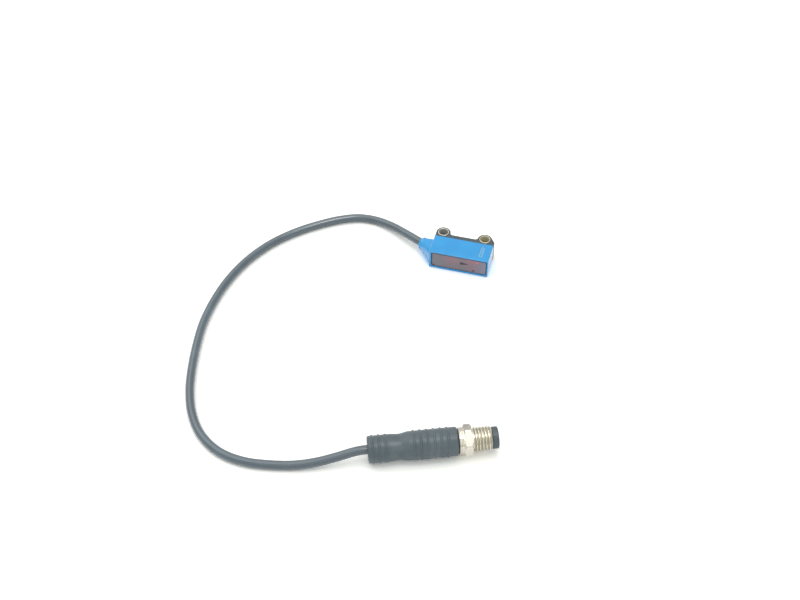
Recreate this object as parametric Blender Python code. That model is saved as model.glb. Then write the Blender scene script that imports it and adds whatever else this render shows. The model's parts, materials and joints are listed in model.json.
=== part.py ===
"""Miniature diffuse photoelectric sensor with a cable and an M8 plug.

Sizes are in millimetres and become metres where a mesh is made. The head frame has its corner
at the cable end of the front face: X runs along the head, Y back from the window to the
mounting ears, and Z up from the lower side face to the upper one. The plug frame starts at the
plug's rear end, with X along the plug's axis.
"""

from math import acos, asin, atan2, ceil, cos, hypot, pi, radians, sin, sqrt, tan, tau

import bmesh
import bpy
import numpy as np
from mathutils import Matrix, Vector

MM = 0.001

# Clearances
SEAM = 0.1    # joint lines that show: window, light guide, rear cover
SEAT = 0.2    # inner pieces on their seats
PRESS = 0.06  # metal that is pressed or moulded into plastic
RUN = 0.2     # coupling screw on the contact carrier
TABLE = 0.02  # pieces that lie on the table beside the head
OVERSHOOT = 1.0  # how far a cutter runs out of the face that it opens

# Head shell
LENGTH = 21.8
THICKNESS = 7.7
SHELL_DEPTH = 9.2
EDGE_RADIUS = 0.4
LIP_CABLE_END = 0.95
LIP_FAR_END = 0.45
LIP_LOWER = 1.0
LIP_UPPER = 0.35
LEDGE = 0.5

# Front window
WINDOW_THICKNESS = 1.0
WINDOW_SET_BACK = 0.05
WINDOW_CORNER = 0.45
WINDOW_CHAMFER = 0.12

# Cable spout on the cable end
SPOUT_SLANT = radians(25.0)
SPOUT_AXIS_DEPTH = 5.6
SPOUT_DIAMETER = 5.0
SPOUT_REACH = 5.3
SPOUT_STRAIGHT = 1.5
SPOUT_RIM = 1.1
SPOUT_BASE_REAR = 8.0
SPOUT_BASE_INSET = 0.3
SPOUT_BASE_CORNER = 1.6

# Rear cover and its ears
COVER_THICKNESS = 1.6
COVER_EDGE = 0.18
COVER_RIM_WALL = 0.6
COVER_RIM_DEPTH = 1.1
EAR_DIAMETER = 5.2
EAR_SPACING = 15.45
EAR_BACK = 11.7
EAR_FILLET = 1.1
EAR_INSET = 0.2
BUSHING_DIAMETER = 4.2
BUSHING_BORE = 3.2
BUSHING_CHAMFER = 0.15
BUSHING_INSET = 0.1

# Optics
CARRIER_DEPTH = 3.9
CABLE_SPACE = 3.2
EMITTER_OFFSET = 3.9
EMITTER_LENS_DIAMETER = 4.0
RECEIVER_LENS_WIDTH = 7.4
RECEIVER_LENS_HEIGHT = 4.0
RECEIVER_POCKET_CORNER = 0.4
LENS_EDGE = 0.5
LENS_CROWN = 0.6
LENS_SEAT = 0.4
LENS_SPACING = 9.2
TUNNEL_MOUTH = 0.8  # share of the lens pocket where its tunnel starts

# Circuit board and what it carries
BOARD_THICKNESS = 0.8
BOARD_END_ROOM = 1.0
EMITTER_CHIP = (1.6, 1.6)
RECEIVER_CHIP = (3.0, 2.4)
OPTO_HEIGHT = 0.45
DOME_DIAMETER = 1.2
EVALUATION_CHIP = (3.2, 3.2, 0.75)
INDICATOR_WIDTH = 0.8
INDICATOR_HEIGHT = 1.0
INDICATOR_PITCH = 1.3

# Indicator light guide in the upper face
GUIDE_WIDTH = 1.2
GUIDE_LENGTH = 5.2
GUIDE_FROM_FAR_END = 3.35
GUIDE_FROM_FRONT = 2.0

# Cable, its cores and its seal
CABLE_DIAMETER = 3.0
CABLE_BORE_PLAY = 0.2
CABLE_INNER_END = 1.5
CORE_DIAMETER = 0.8
CORE_CIRCLE = 0.75
CORE_STRAIGHT = 0.5
CORE_RISE = 0.9
CORE_SWEEP = 0.2
SEAL_WALL = 0.5
SEAL_LENGTH = 1.2
POINT_PITCH = 2.0
PAD_SPACING = 1.15
PAD_FROM_BOARD_END = 1.2

# Route of the cable on the table, as distance along X and Y and lift above the table
CABLE_ROUTE = (
    (-11.2, 11.3, 1.9), (-18.4, 15.5, 0.7), (-25.3, 17.7, 0.0), (-31.5, 17.3, 0.0),
    (-37.8, 14.6, 0.0), (-44.8, 9.8, 0.0), (-52.1, 3.3, 0.0), (-58.7, -4.9, 0.0),
    (-63.8, -15.0, 0.0), (-67.0, -26.5, 0.0), (-68.2, -38.5, 0.0), (-67.9, -49.0, 0.0),
    (-66.2, -59.3, 0.0), (-63.9, -69.0, 0.0), (-60.9, -78.4, 0.0), (-56.6, -87.2, 0.0),
    (-50.4, -94.8, 0.0), (-42.2, -99.7, 0.0), (-33.4, -101.1, 0.0), (-25.6, -100.2, 0.0),
    (-18.4, -98.5, 0.1), (-11.6, -96.0, 0.8), (-5.9, -93.2, 1.8),
)

# Plug
PLUG_PLACE = (2.96, -88.8)
PLUG_HEADING = radians(21.4)
PLUG_LENGTH = 28.2
PLUG_CABLE_DEPTH = 12.0
TAIL_DIAMETER = 8.6
TAIL_LENGTH = 6.5
TAIL_ROUND = 0.5
WAIST_DIAMETER = 8.2
WAIST_PLACE = 10.0
GRIP_DIAMETER = 9.2
GRIP_START = 13.2
GRIP_ROUND = 1.0
RIB_WIDTH = 0.8
RIB_HEIGHT = 0.25
RIB_PITCH = 2.12
TAIL_RIBS = 3
TAIL_RIB_START = 1.5
GRIP_RIBS = 6
GRIP_RIB_START = 14.5

# Coupling screw: a grooved ring, a hexagon and the thread
RING_DIAMETER = 8.8
RING_LENGTH = 1.7
RING_CHAMFER = 0.2
RING_GROOVES = 3
RING_GROOVE_PITCH = 0.45
RING_GROOVE_DEPTH = 0.12
HEXAGON_FLATS = 9.0
HEXAGON_CORNERS = 10.1
HEXAGON_LENGTH = 2.6
HEXAGON_CHAMFER = radians(30.0)
HEXAGON_TURN = radians(33.5)
THREAD_DIAMETER = 8.0
THREAD_LENGTH = 6.2
THREAD_CHAMFER = 0.5
UNDERCUT_DEPTH = 0.6
UNDERCUT_LENGTH = 0.4
UNDERCUT_SLOPE = 0.3

# Contact carrier and pins
SHAFT_DIAMETER = 5.8
COLLAR_DIAMETER = 7.0
COLLAR_LENGTH = 1.9
COLLAR_CHAMFER = 0.25
SOCKET_DIAMETER = 4.9
SOCKET_DEPTH = 5.6
ANCHOR_DIAMETER = 7.0
ANCHOR_LENGTH = 1.0
ANCHOR_SETBACK = 1.2
CARRIER_TAIL = 5.0
PIN_DIAMETER = 1.0
PIN_CIRCLE = 3.1
PIN_SETBACK = 1.4
PIN_TIP = 0.35
PIN_TIP_SHOULDER = 0.8  # shares of the pin's radius, halfway along the tip and at its end
PIN_TIP_END = 0.4

# Facets of the round pieces
FINE = 32
MEDIUM = 24
COARSE = 16
SCREW_FACETS = 60
QUARTER = 4

# Places that follow from the sizes above
WINDOW_BACK = WINDOW_SET_BACK + WINDOW_THICKNESS
SHELF = WINDOW_BACK + SEAM
CAVITY_LOW = Vector((LIP_CABLE_END + LEDGE, SHELF, LIP_LOWER + LEDGE))
CAVITY_HIGH = Vector((LENGTH - LIP_FAR_END - LEDGE, SHELL_DEPTH, THICKNESS - LIP_UPPER - LEDGE))
OPTIC_HEIGHT = (CAVITY_LOW.z + CAVITY_HIGH.z) / 2
COVER_FRONT = SHELL_DEPTH + SEAM
COVER_BACK = COVER_FRONT + COVER_THICKNESS
EAR_PLACES = (EAR_DIAMETER / 2, EAR_DIAMETER / 2 + EAR_SPACING)
HEAD_DEPTH = EAR_BACK + EAR_DIAMETER / 2
CARRIER_FRONT = SHELF + SEAT
CARRIER_BACK = CARRIER_FRONT + CARRIER_DEPTH
BOARD_FRONT = CARRIER_BACK + SEAT + OPTO_HEIGHT + SEAT
BOARD_BACK = BOARD_FRONT + BOARD_THICKNESS
BOARD_LOW = Vector((CAVITY_LOW.x + BOARD_END_ROOM, BOARD_FRONT, CAVITY_LOW.z + SEAT))
BOARD_HIGH = Vector((CAVITY_HIGH.x - SEAT, BOARD_BACK, CAVITY_HIGH.z - SEAT))
EMITTER_PLACE = LENGTH - EMITTER_OFFSET
RECEIVER_PLACE = EMITTER_PLACE - LENS_SPACING
GUIDE_PLACE = LENGTH - GUIDE_FROM_FAR_END
SPOUT_OUT = Vector((-cos(SPOUT_SLANT), sin(SPOUT_SLANT), 0.0))
SPOUT_SIDE = Vector((sin(SPOUT_SLANT), cos(SPOUT_SLANT), 0.0))
SPOUT_ORIGIN = Vector((0.0, SPOUT_AXIS_DEPTH, THICKNESS / 2))
HEAD_REACH = (SPOUT_RIM + (SPOUT_REACH - SPOUT_RIM) * cos(SPOUT_SLANT)
              + (SPOUT_DIAMETER / 2 - SPOUT_RIM) * sin(SPOUT_SLANT))
CABLE_BORE = CABLE_DIAMETER + 2 * CABLE_BORE_PLAY
SEAL_DIAMETER = CABLE_BORE + 2 * SEAL_WALL
SCREW_BACK = PLUG_LENGTH + RUN
HEXAGON_BACK = SCREW_BACK + RING_LENGTH
HEXAGON_FRONT = HEXAGON_BACK + HEXAGON_LENGTH
THREAD_FRONT = HEXAGON_FRONT + THREAD_LENGTH
COLLAR_BACK = THREAD_FRONT + RUN
PLUG_TIP = COLLAR_BACK + COLLAR_LENGTH
SOCKET_FLOOR = PLUG_TIP - SOCKET_DEPTH
ANCHOR_FRONT = PLUG_LENGTH - ANCHOR_SETBACK
CARRIER_REAR = ANCHOR_FRONT - ANCHOR_LENGTH - CARRIER_TAIL
TAIL_REST = TAIL_DIAMETER / 2 + RIB_HEIGHT
SCREW_REST = HEXAGON_CORNERS / 2
PLUG_TILT = atan2(SCREW_REST - TAIL_REST, (HEXAGON_BACK + HEXAGON_FRONT) / 2 - TAIL_RIB_START)
PLUG_HEIGHT = TAIL_REST * cos(PLUG_TILT) - TAIL_RIB_START * sin(PLUG_TILT) + TABLE
PIN_ANGLES = [radians(45.0 + 90.0 * k) for k in range(4)]

# Finishes: base colour, roughness, metallic value and transmission
FINISHES = {
    "blue_shell": ((0.035, 0.29, 0.72), 0.45, 0.0, 0.0),
    "dark_red_window": ((0.10, 0.02, 0.025), 0.08, 0.0, 0.3),
    "black_cover": ((0.02, 0.02, 0.022), 0.5, 0.0, 0.0),
    "plated_brass": ((0.72, 0.68, 0.55), 0.3, 1.0, 0.0),
    "black_carrier": ((0.015, 0.015, 0.015), 0.6, 0.0, 0.0),
    "clear_lens": ((0.85, 0.87, 0.88), 0.05, 0.0, 0.9),
    "red_emitter": ((0.75, 0.08, 0.05), 0.3, 0.0, 0.0),
    "photodiode": ((0.09, 0.07, 0.10), 0.25, 0.0, 0.0),
    "green_board": ((0.02, 0.16, 0.07), 0.4, 0.0, 0.0),
    "black_chip": ((0.02, 0.02, 0.02), 0.55, 0.0, 0.0),
    "yellow_indicator": ((0.85, 0.62, 0.05), 0.3, 0.0, 0.0),
    "green_indicator": ((0.10, 0.60, 0.15), 0.3, 0.0, 0.0),
    "milky_guide": ((0.45, 0.68, 0.86), 0.25, 0.0, 0.2),
    "black_seal": ((0.025, 0.025, 0.025), 0.8, 0.0, 0.0),
    "cable_jacket": ((0.03, 0.032, 0.036), 0.55, 0.0, 0.0),
    "brown_core": ((0.22, 0.10, 0.04), 0.5, 0.0, 0.0),
    "white_core": ((0.80, 0.80, 0.78), 0.5, 0.0, 0.0),
    "blue_core": ((0.03, 0.12, 0.50), 0.5, 0.0, 0.0),
    "black_core": ((0.02, 0.02, 0.02), 0.5, 0.0, 0.0),
    "plug_moulding": ((0.03, 0.032, 0.035), 0.6, 0.0, 0.0),
    "nickel": ((0.74, 0.72, 0.66), 0.28, 1.0, 0.0),
    "gold": ((0.86, 0.65, 0.28), 0.25, 1.0, 0.0),
}


def clear_scene():
    """Remove the objects that the scene starts with."""
    for obj in list(bpy.data.objects):
        bpy.data.objects.remove(obj, do_unlink=True)


def finish(name):
    """Return the material of this finish, made on its first use."""
    material = bpy.data.materials.get(name)
    if material:
        return material
    colour, roughness, metallic, transmission = FINISHES[name]
    material = bpy.data.materials.new(name)
    material.use_nodes = True
    shader = material.node_tree.nodes["Principled BSDF"]
    shader.inputs["Base Color"].default_value = (*colour, 1.0)
    shader.inputs["Roughness"].default_value = roughness
    shader.inputs["Metallic"].default_value = metallic
    shader.inputs["Transmission Weight"].default_value = transmission
    return material


def frame(name, place, rotation=None, parent=None):
    """Add an empty that carries the pieces of one frame."""
    empty = bpy.data.objects.new(name, None)
    empty.location = Vector(place) * MM
    if rotation:
        empty.rotation_euler = rotation.to_euler()
    empty.parent = parent
    bpy.context.collection.objects.link(empty)
    return empty


def link(name, data, parent, look=None):
    """Add one piece to the scene, in its finish."""
    obj = bpy.data.objects.new(name, data)
    obj.parent = parent
    if look:
        data.materials.append(finish(look))
    bpy.context.collection.objects.link(obj)
    return obj


def cutter(name, mesh, parent):
    """Add a mesh that only shapes another piece."""
    obj = link(name, mesh, parent)
    obj.hide_render = True
    obj.display_type = "WIRE"
    return obj


def combine(piece, tool, operation="DIFFERENCE"):
    """Cut the tool from a piece, or join it on."""
    modifier = piece.modifiers.new(tool.name, "BOOLEAN")
    modifier.operation = operation
    modifier.object = tool
    modifier.solver = "EXACT"


def to_mesh(name, bm, smooth_angle=30.0):
    """Turn a bmesh in millimetres into a mesh in metres, faces outward."""
    bmesh.ops.recalc_face_normals(bm, faces=bm.faces)
    bmesh.ops.scale(bm, vec=(MM, MM, MM), verts=bm.verts)
    mesh = bpy.data.meshes.new(name)
    bm.to_mesh(mesh)
    bm.free()
    mesh.shade_smooth()
    mesh.set_sharp_from_angle(angle=radians(smooth_angle))
    return mesh


def skin(name, rings, around=False):
    """Mesh over rings of points; a ring of one point closes the skin in a pole.

    With around, the last ring joins the first, as on a tube. Without it, open ends are capped.
    """
    bm = bmesh.new()
    loops = [[bm.verts.new(point) for point in ring] for ring in rings]
    pairs = list(zip(loops, loops[1:]))
    if around:
        pairs.append((loops[-1], loops[0]))
    for first, second in pairs:
        count = max(len(first), len(second))
        for k in range(count):
            corners = []
            for loop, index in ((first, k), (first, k + 1), (second, k + 1), (second, k)):
                vert = loop[index % len(loop)]
                if vert not in corners:
                    corners.append(vert)
            bm.faces.new(corners)
    if not around:
        for loop in (loops[0], loops[-1]):
            if len(loop) > 2:
                bm.faces.new(loop)
    return to_mesh(name, bm)


def turned(name, profile, segments, around=False):
    """Turn a profile of (distance along X, radius) points round the X axis."""
    rings = []
    for along, radius in profile:
        if radius == 0.0:
            rings.append([(along, 0.0, 0.0)])
            continue
        angles = [tau * (k + 0.5) / segments for k in range(segments)]
        rings.append([(along, radius * cos(a), radius * sin(a)) for a in angles])
    return skin(name, rings, around)


def prism(name, outline, start, end, plane):
    """Extrude an outline drawn in the XY, XZ or YZ plane along the third axis."""
    order = {"XY": (0, 1, 2), "XZ": (0, 2, 1), "YZ": (2, 0, 1)}[plane]
    rings = []
    for level in (start, end):
        triples = [(a, b, level) for a, b in outline]
        rings.append([tuple(point[i] for i in order) for point in triples])
    return skin(name, rings)


def block(name, low, high, radius=0.0, segments=2):
    """Box between two corners, with its edges rounded where a radius is given."""
    bm = bmesh.new()
    bmesh.ops.create_cube(bm, size=1.0)
    size = Vector(high) - Vector(low)
    bmesh.ops.scale(bm, vec=size, verts=bm.verts)
    bmesh.ops.translate(bm, vec=(Vector(high) + Vector(low)) / 2, verts=bm.verts)
    if radius:
        bmesh.ops.bevel(bm, geom=bm.edges[:], offset=radius, segments=segments,
                        profile=0.5, affect="EDGES")
    return to_mesh(name, bm)


def arc(centre, radius, start, end, steps):
    """Points on an arc in a plane, both ends included, angles in radians."""
    angles = [start + (end - start) * k / steps for k in range(steps + 1)]
    return [(centre[0] + radius * cos(a), centre[1] + radius * sin(a)) for a in angles]


def rounded_rectangle(low, high, radius, steps=4):
    """Outline of a rectangle with round corners, anticlockwise from its right side."""
    corners = (
        ((high[0] - radius, high[1] - radius), 0.0),
        ((low[0] + radius, high[1] - radius), 0.5 * pi),
        ((low[0] + radius, low[1] + radius), pi),
        ((high[0] - radius, low[1] + radius), 1.5 * pi),
    )
    outline = []
    for centre, start in corners:
        outline += arc(centre, radius, start, start + 0.5 * pi, steps)
    return outline


def spout_point(distance):
    """Point on the spout's axis, this far out of the cable end's face."""
    return SPOUT_ORIGIN + SPOUT_OUT * distance


def spout_ring(distance, radius, segments):
    """Circle round the spout's axis."""
    angles = [tau * (k + 0.5) / segments for k in range(segments)]
    centre = spout_point(distance)
    up = Vector((0.0, 0.0, 1.0))
    return [centre + (SPOUT_SIDE * cos(a) + up * sin(a)) * radius for a in angles]


def spout_mesh():
    """Solid spout: a loft from a wide base on the end wall to a round, domed nose."""
    steps = 5
    segments = 4 * (steps + 1)
    stretches = 6
    low = (SPOUT_BASE_INSET, SPOUT_BASE_INSET)
    high = (SPOUT_BASE_REAR, THICKNESS - SPOUT_BASE_INSET)
    base = rounded_rectangle(low, high, SPOUT_BASE_CORNER, steps)
    radius = SPOUT_DIAMETER / 2
    nose = spout_ring(SPOUT_REACH - SPOUT_STRAIGHT, radius, segments)
    inner = [Vector((LIP_CABLE_END / 2, y, z)) for y, z in base]
    rings = [inner]
    for k in range(stretches + 1):
        share = k / stretches
        rings.append([Vector((0.0, y, z)).lerp(round_point, share)
                      for (y, z), round_point in zip(base, nose)])
    for k in range(QUARTER + 1):
        turn = 0.5 * pi * k / QUARTER
        distance = SPOUT_REACH - SPOUT_RIM * (1.0 - sin(turn))
        rings.append(spout_ring(distance, radius - SPOUT_RIM * (1.0 - cos(turn)), segments))
    return skin("spout", rings)


def spout_cylinder(name, start, end, diameter):
    """Cylinder on the spout's axis."""
    rings = [spout_ring(level, diameter / 2, FINE) for level in (start, end)]
    return skin(name, rings)


def build_shell(head):
    """Blue shell: a rounded box, open at the window and at the back, with its spout."""
    high = (LENGTH, SHELL_DEPTH, THICKNESS)
    shell = link("housing", block("housing", (0, 0, 0), high, EDGE_RADIUS, 3), head, "blue_shell")
    combine(shell, cutter("spout", spout_mesh(), head), "UNION")

    recess = rounded_rectangle((LIP_CABLE_END, LIP_LOWER),
                               (LENGTH - LIP_FAR_END, THICKNESS - LIP_UPPER), WINDOW_CORNER)
    combine(shell, cutter("window_recess", prism("window_recess", recess, -OVERSHOOT, SHELF, "XZ"),
                          head))
    through = (CAVITY_HIGH.x, SHELL_DEPTH + OVERSHOOT, CAVITY_HIGH.z)
    inside = block("cavity", (CAVITY_LOW.x, -OVERSHOOT, CAVITY_LOW.z), through)
    combine(shell, cutter("cavity", inside, head))

    inner = -CAVITY_LOW.x / cos(SPOUT_SLANT) - CABLE_BORE
    bore = spout_cylinder("cable_bore", inner, SPOUT_REACH + OVERSHOOT, CABLE_BORE)
    combine(shell, cutter("cable_bore", bore, head))
    pocket = spout_cylinder("seal_pocket", inner, SEAT, SEAL_DIAMETER + 2 * SEAT)
    combine(shell, cutter("seal_pocket", pocket, head))

    slot = guide_outline(SEAM)
    opening = prism("guide_slot", slot, CAVITY_HIGH.z - OVERSHOOT, THICKNESS + OVERSHOOT, "XY")
    combine(shell, cutter("guide_slot", opening, head))


def guide_outline(play):
    """Capsule outline of the light guide, grown by a play."""
    half = GUIDE_WIDTH / 2
    rear = (GUIDE_PLACE, GUIDE_FROM_FRONT + GUIDE_LENGTH - half)
    front = (GUIDE_PLACE, GUIDE_FROM_FRONT + half)
    steps = 2 * QUARTER
    return arc(rear, half + play, 0.0, pi, steps) + arc(front, half + play, pi, tau, steps)


def build_window(head):
    """Dark red front window, a plate with a small chamfer round its outer face."""
    rings = []
    levels = ((WINDOW_SET_BACK, SEAM + WINDOW_CHAMFER),
              (WINDOW_SET_BACK + WINDOW_CHAMFER, SEAM), (WINDOW_BACK, SEAM))
    for depth, inset in levels:
        low = (LIP_CABLE_END + inset, LIP_LOWER + inset)
        high = (LENGTH - LIP_FAR_END - inset, THICKNESS - LIP_UPPER - inset)
        outline = rounded_rectangle(low, high, WINDOW_CORNER - SEAM)
        rings.append([(x, depth, z) for x, z in outline])
    link("front_window", skin("front_window", rings), head, "dark_red_window")


def ear_fillet(ear, side):
    """Centre of the fillet between an ear and the cover's back, on the given side."""
    rise = COVER_BACK + EAR_FILLET - EAR_BACK
    reach = sqrt((EAR_DIAMETER / 2 + EAR_FILLET) ** 2 - rise ** 2)
    return (ear + side * reach, COVER_BACK + EAR_FILLET)


def far_end_outline(far):
    """Outline of the cover's far end, and the angle at which it runs into the far ear.

    A gusset leaves the far corner along the ear's tangent. Where the ear reaches past that
    corner, its circle rises from the end face, or from the front edge, instead.
    """
    radius = EAR_DIAMETER / 2
    away = (LENGTH - far, COVER_BACK - EAR_BACK)
    if hypot(*away) > radius:
        angle = atan2(away[1], away[0]) + acos(radius / hypot(*away))
        return [(LENGTH, COVER_FRONT), (LENGTH, COVER_BACK)], angle
    if hypot(LENGTH - far, COVER_FRONT - EAR_BACK) > radius:
        return [(LENGTH, COVER_FRONT)], -acos((LENGTH - far) / radius)
    return [], -asin((EAR_BACK - COVER_FRONT) / radius)


def cover_outline():
    """Outline of the rear cover from above, anticlockwise from the cable end's front corner."""
    near, far = EAR_PLACES
    radius = EAR_DIAMETER / 2
    ear_steps = 3 * QUARTER + 2
    corner, angle = far_end_outline(far)
    outline = [(0.0, COVER_FRONT)] + corner

    left = ear_fillet(far, -1)
    touch = atan2(left[1] - EAR_BACK, left[0] - far) % tau
    outline += arc((far, EAR_BACK), radius, angle, touch, ear_steps)
    outline += arc(left, EAR_FILLET, touch - pi, -0.5 * pi, QUARTER)[1:]

    right = ear_fillet(near, 1)
    touch = atan2(right[1] - EAR_BACK, right[0] - near)
    outline += arc(right, EAR_FILLET, -0.5 * pi, touch - pi, QUARTER)
    outline += arc((near, EAR_BACK), radius, touch, pi, ear_steps)[1:]
    return outline


def build_cover(head):
    """Black rear cover with its two ears and the rim that plugs into the shell."""
    outline = cover_outline()
    middle = Vector((LENGTH / 2, (COVER_FRONT + HEAD_DEPTH) / 2))
    half = Vector((LENGTH, HEAD_DEPTH - COVER_FRONT)) / 2
    shrink = [1.0 - COVER_EDGE / size for size in half]
    inner = [(middle.x + (x - middle.x) * shrink[0], middle.y + (y - middle.y) * shrink[1])
             for x, y in outline]
    levels = ((EAR_INSET, inner), (EAR_INSET + COVER_EDGE, outline),
              (THICKNESS - EAR_INSET - COVER_EDGE, outline), (THICKNESS - EAR_INSET, inner))
    rings = [[(x, y, z) for x, y in points] for z, points in levels]
    cover = link("rear_cover", skin("rear_cover", rings), head, "black_cover")

    rim_low = Vector((CAVITY_LOW.x + SEAT, SHELL_DEPTH - COVER_RIM_DEPTH, CAVITY_LOW.z + SEAT))
    rim_high = Vector((CAVITY_HIGH.x - SEAT, COVER_FRONT + COVER_THICKNESS / 2,
                       CAVITY_HIGH.z - SEAT))
    combine(cover, cutter("cover_rim", block("cover_rim", rim_low, rim_high), head), "UNION")
    hollow_low = rim_low + Vector((COVER_RIM_WALL, -OVERSHOOT, COVER_RIM_WALL))
    hollow_high = (rim_high.x - COVER_RIM_WALL, COVER_FRONT, rim_high.z - COVER_RIM_WALL)
    combine(cover, cutter("rim_hollow", block("rim_hollow", hollow_low, hollow_high), head))

    for number, place in enumerate(EAR_PLACES, start=1):
        hole = arc((place, EAR_BACK), BUSHING_DIAMETER / 2 + PRESS, 0.0, tau, FINE)[:-1]
        mesh = prism(f"ear_hole_{number}", hole, -OVERSHOOT, THICKNESS + OVERSHOOT, "XY")
        combine(cover, cutter(f"ear_hole_{number}", mesh, head))


def build_bushings(head):
    """Plated brass bushings that take the mounting screws through the ears."""
    inner, outer = BUSHING_BORE / 2, BUSHING_DIAMETER / 2
    low, high = BUSHING_INSET, THICKNESS - BUSHING_INSET
    chamfer = BUSHING_CHAMFER
    profile = ((low, outer - chamfer), (low + chamfer, outer), (high - chamfer, outer),
               (high, outer - chamfer), (high, inner + chamfer), (high - chamfer, inner),
               (low + chamfer, inner), (low, inner + chamfer))
    for name, place in zip(("cable_side_bushing", "far_side_bushing"), EAR_PLACES):
        rings = []
        for z, radius in profile:
            circle = arc((place, EAR_BACK), radius, 0.0, tau, FINE)[:-1]
            rings.append([(x, y, z) for x, y in circle])
        link(name, skin(name, rings, around=True), head, "plated_brass")


def lens_mesh(name, place, diameter):
    """Plano-convex lens that faces the window, its flat side to the board."""
    front = CARRIER_FRONT + LENS_SEAT
    radius = diameter / 2
    bulge = (radius ** 2 + LENS_CROWN ** 2) / (2 * LENS_CROWN)
    profile = [(front + LENS_CROWN + LENS_EDGE, 0.0), (front + LENS_CROWN + LENS_EDGE, radius)]
    for k in range(QUARTER, -1, -1):
        height = radius * k / QUARTER
        sag = bulge - sqrt(bulge ** 2 - height ** 2)
        profile.append((front + sag, height))
    rings = []
    for depth, height in profile:
        circle = arc((place, OPTIC_HEIGHT), height, 0.0, tau, MEDIUM)[:-1]
        rings.append([(x, depth, z) for x, z in (circle if height else circle[:1])])
    return skin(name, rings)


def build_optics(head):
    """Optics carrier with its two tunnels, and the emitter's and receiver's lenses."""
    low = Vector((CAVITY_LOW.x + CABLE_SPACE, CARRIER_FRONT, CAVITY_LOW.z + SEAT))
    high = Vector((CAVITY_HIGH.x - SEAT, CARRIER_BACK, CAVITY_HIGH.z - SEAT))
    carrier = link("optics_carrier", block("optics_carrier", low, high), head, "black_carrier")

    lens_depth = CARRIER_FRONT + LENS_SEAT + LENS_CROWN + LENS_EDGE + SEAT
    width = RECEIVER_LENS_WIDTH / 2 + SEAT
    height = RECEIVER_LENS_HEIGHT / 2 + SEAT
    pocket_radius = EMITTER_LENS_DIAMETER / 2 + SEAT
    outlines = {
        "emitter": (arc((EMITTER_PLACE, OPTIC_HEIGHT), pocket_radius, 0, tau, MEDIUM)[:-1],
                    EMITTER_CHIP),
        "receiver": (rounded_rectangle((RECEIVER_PLACE - width, OPTIC_HEIGHT - height),
                                       (RECEIVER_PLACE + width, OPTIC_HEIGHT + height),
                                       RECEIVER_POCKET_CORNER),
                     RECEIVER_CHIP),
    }
    places = {"emitter": EMITTER_PLACE, "receiver": RECEIVER_PLACE}
    for name, (outline, chip) in outlines.items():
        pocket = prism(f"{name}_pocket", outline, CARRIER_FRONT - OVERSHOOT, lens_depth, "XZ")
        combine(carrier, cutter(f"{name}_pocket", pocket, head))
        scale_x = (chip[0] / 2) / (max(x for x, _ in outline) - places[name])
        scale_z = (chip[1] / 2) / (max(z for _, z in outline) - OPTIC_HEIGHT)
        rings = []
        for depth, factor_x, factor_z in ((lens_depth - SEAT, TUNNEL_MOUTH, TUNNEL_MOUTH),
                                          (CARRIER_BACK + SEAT, scale_x, scale_z)):
            rings.append([(places[name] + (x - places[name]) * factor_x, depth,
                           OPTIC_HEIGHT + (z - OPTIC_HEIGHT) * factor_z) for x, z in outline])
        combine(carrier, cutter(f"{name}_tunnel", skin(f"{name}_tunnel", rings), head))

    emitter = lens_mesh("emitter_lens", EMITTER_PLACE, EMITTER_LENS_DIAMETER)
    link("emitter_lens", emitter, head, "clear_lens")
    corner = hypot(RECEIVER_LENS_WIDTH, RECEIVER_LENS_HEIGHT)
    receiver = link("receiver_lens", lens_mesh("receiver_lens", RECEIVER_PLACE, corner), head,
                    "clear_lens")
    half = Vector((RECEIVER_LENS_WIDTH, 0.0, RECEIVER_LENS_HEIGHT)) / 2
    centre = Vector((RECEIVER_PLACE, 0.0, OPTIC_HEIGHT))
    trim_low, trim_high = centre - half, centre + half
    trim_high.y = CARRIER_BACK
    trim = cutter("lens_trim", block("lens_trim", trim_low, trim_high), head)
    combine(receiver, trim, "INTERSECT")


def on_board(name, place, size, look, head):
    """Small part soldered to the front of the board, centred on a place (x, z)."""
    back = BOARD_FRONT - SEAT
    low = (place[0] - size[0] / 2, back - size[2], place[1] - size[1] / 2)
    high = (place[0] + size[0] / 2, back, place[1] + size[1] / 2)
    return link(name, block(name, low, high), head, look)


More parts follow.
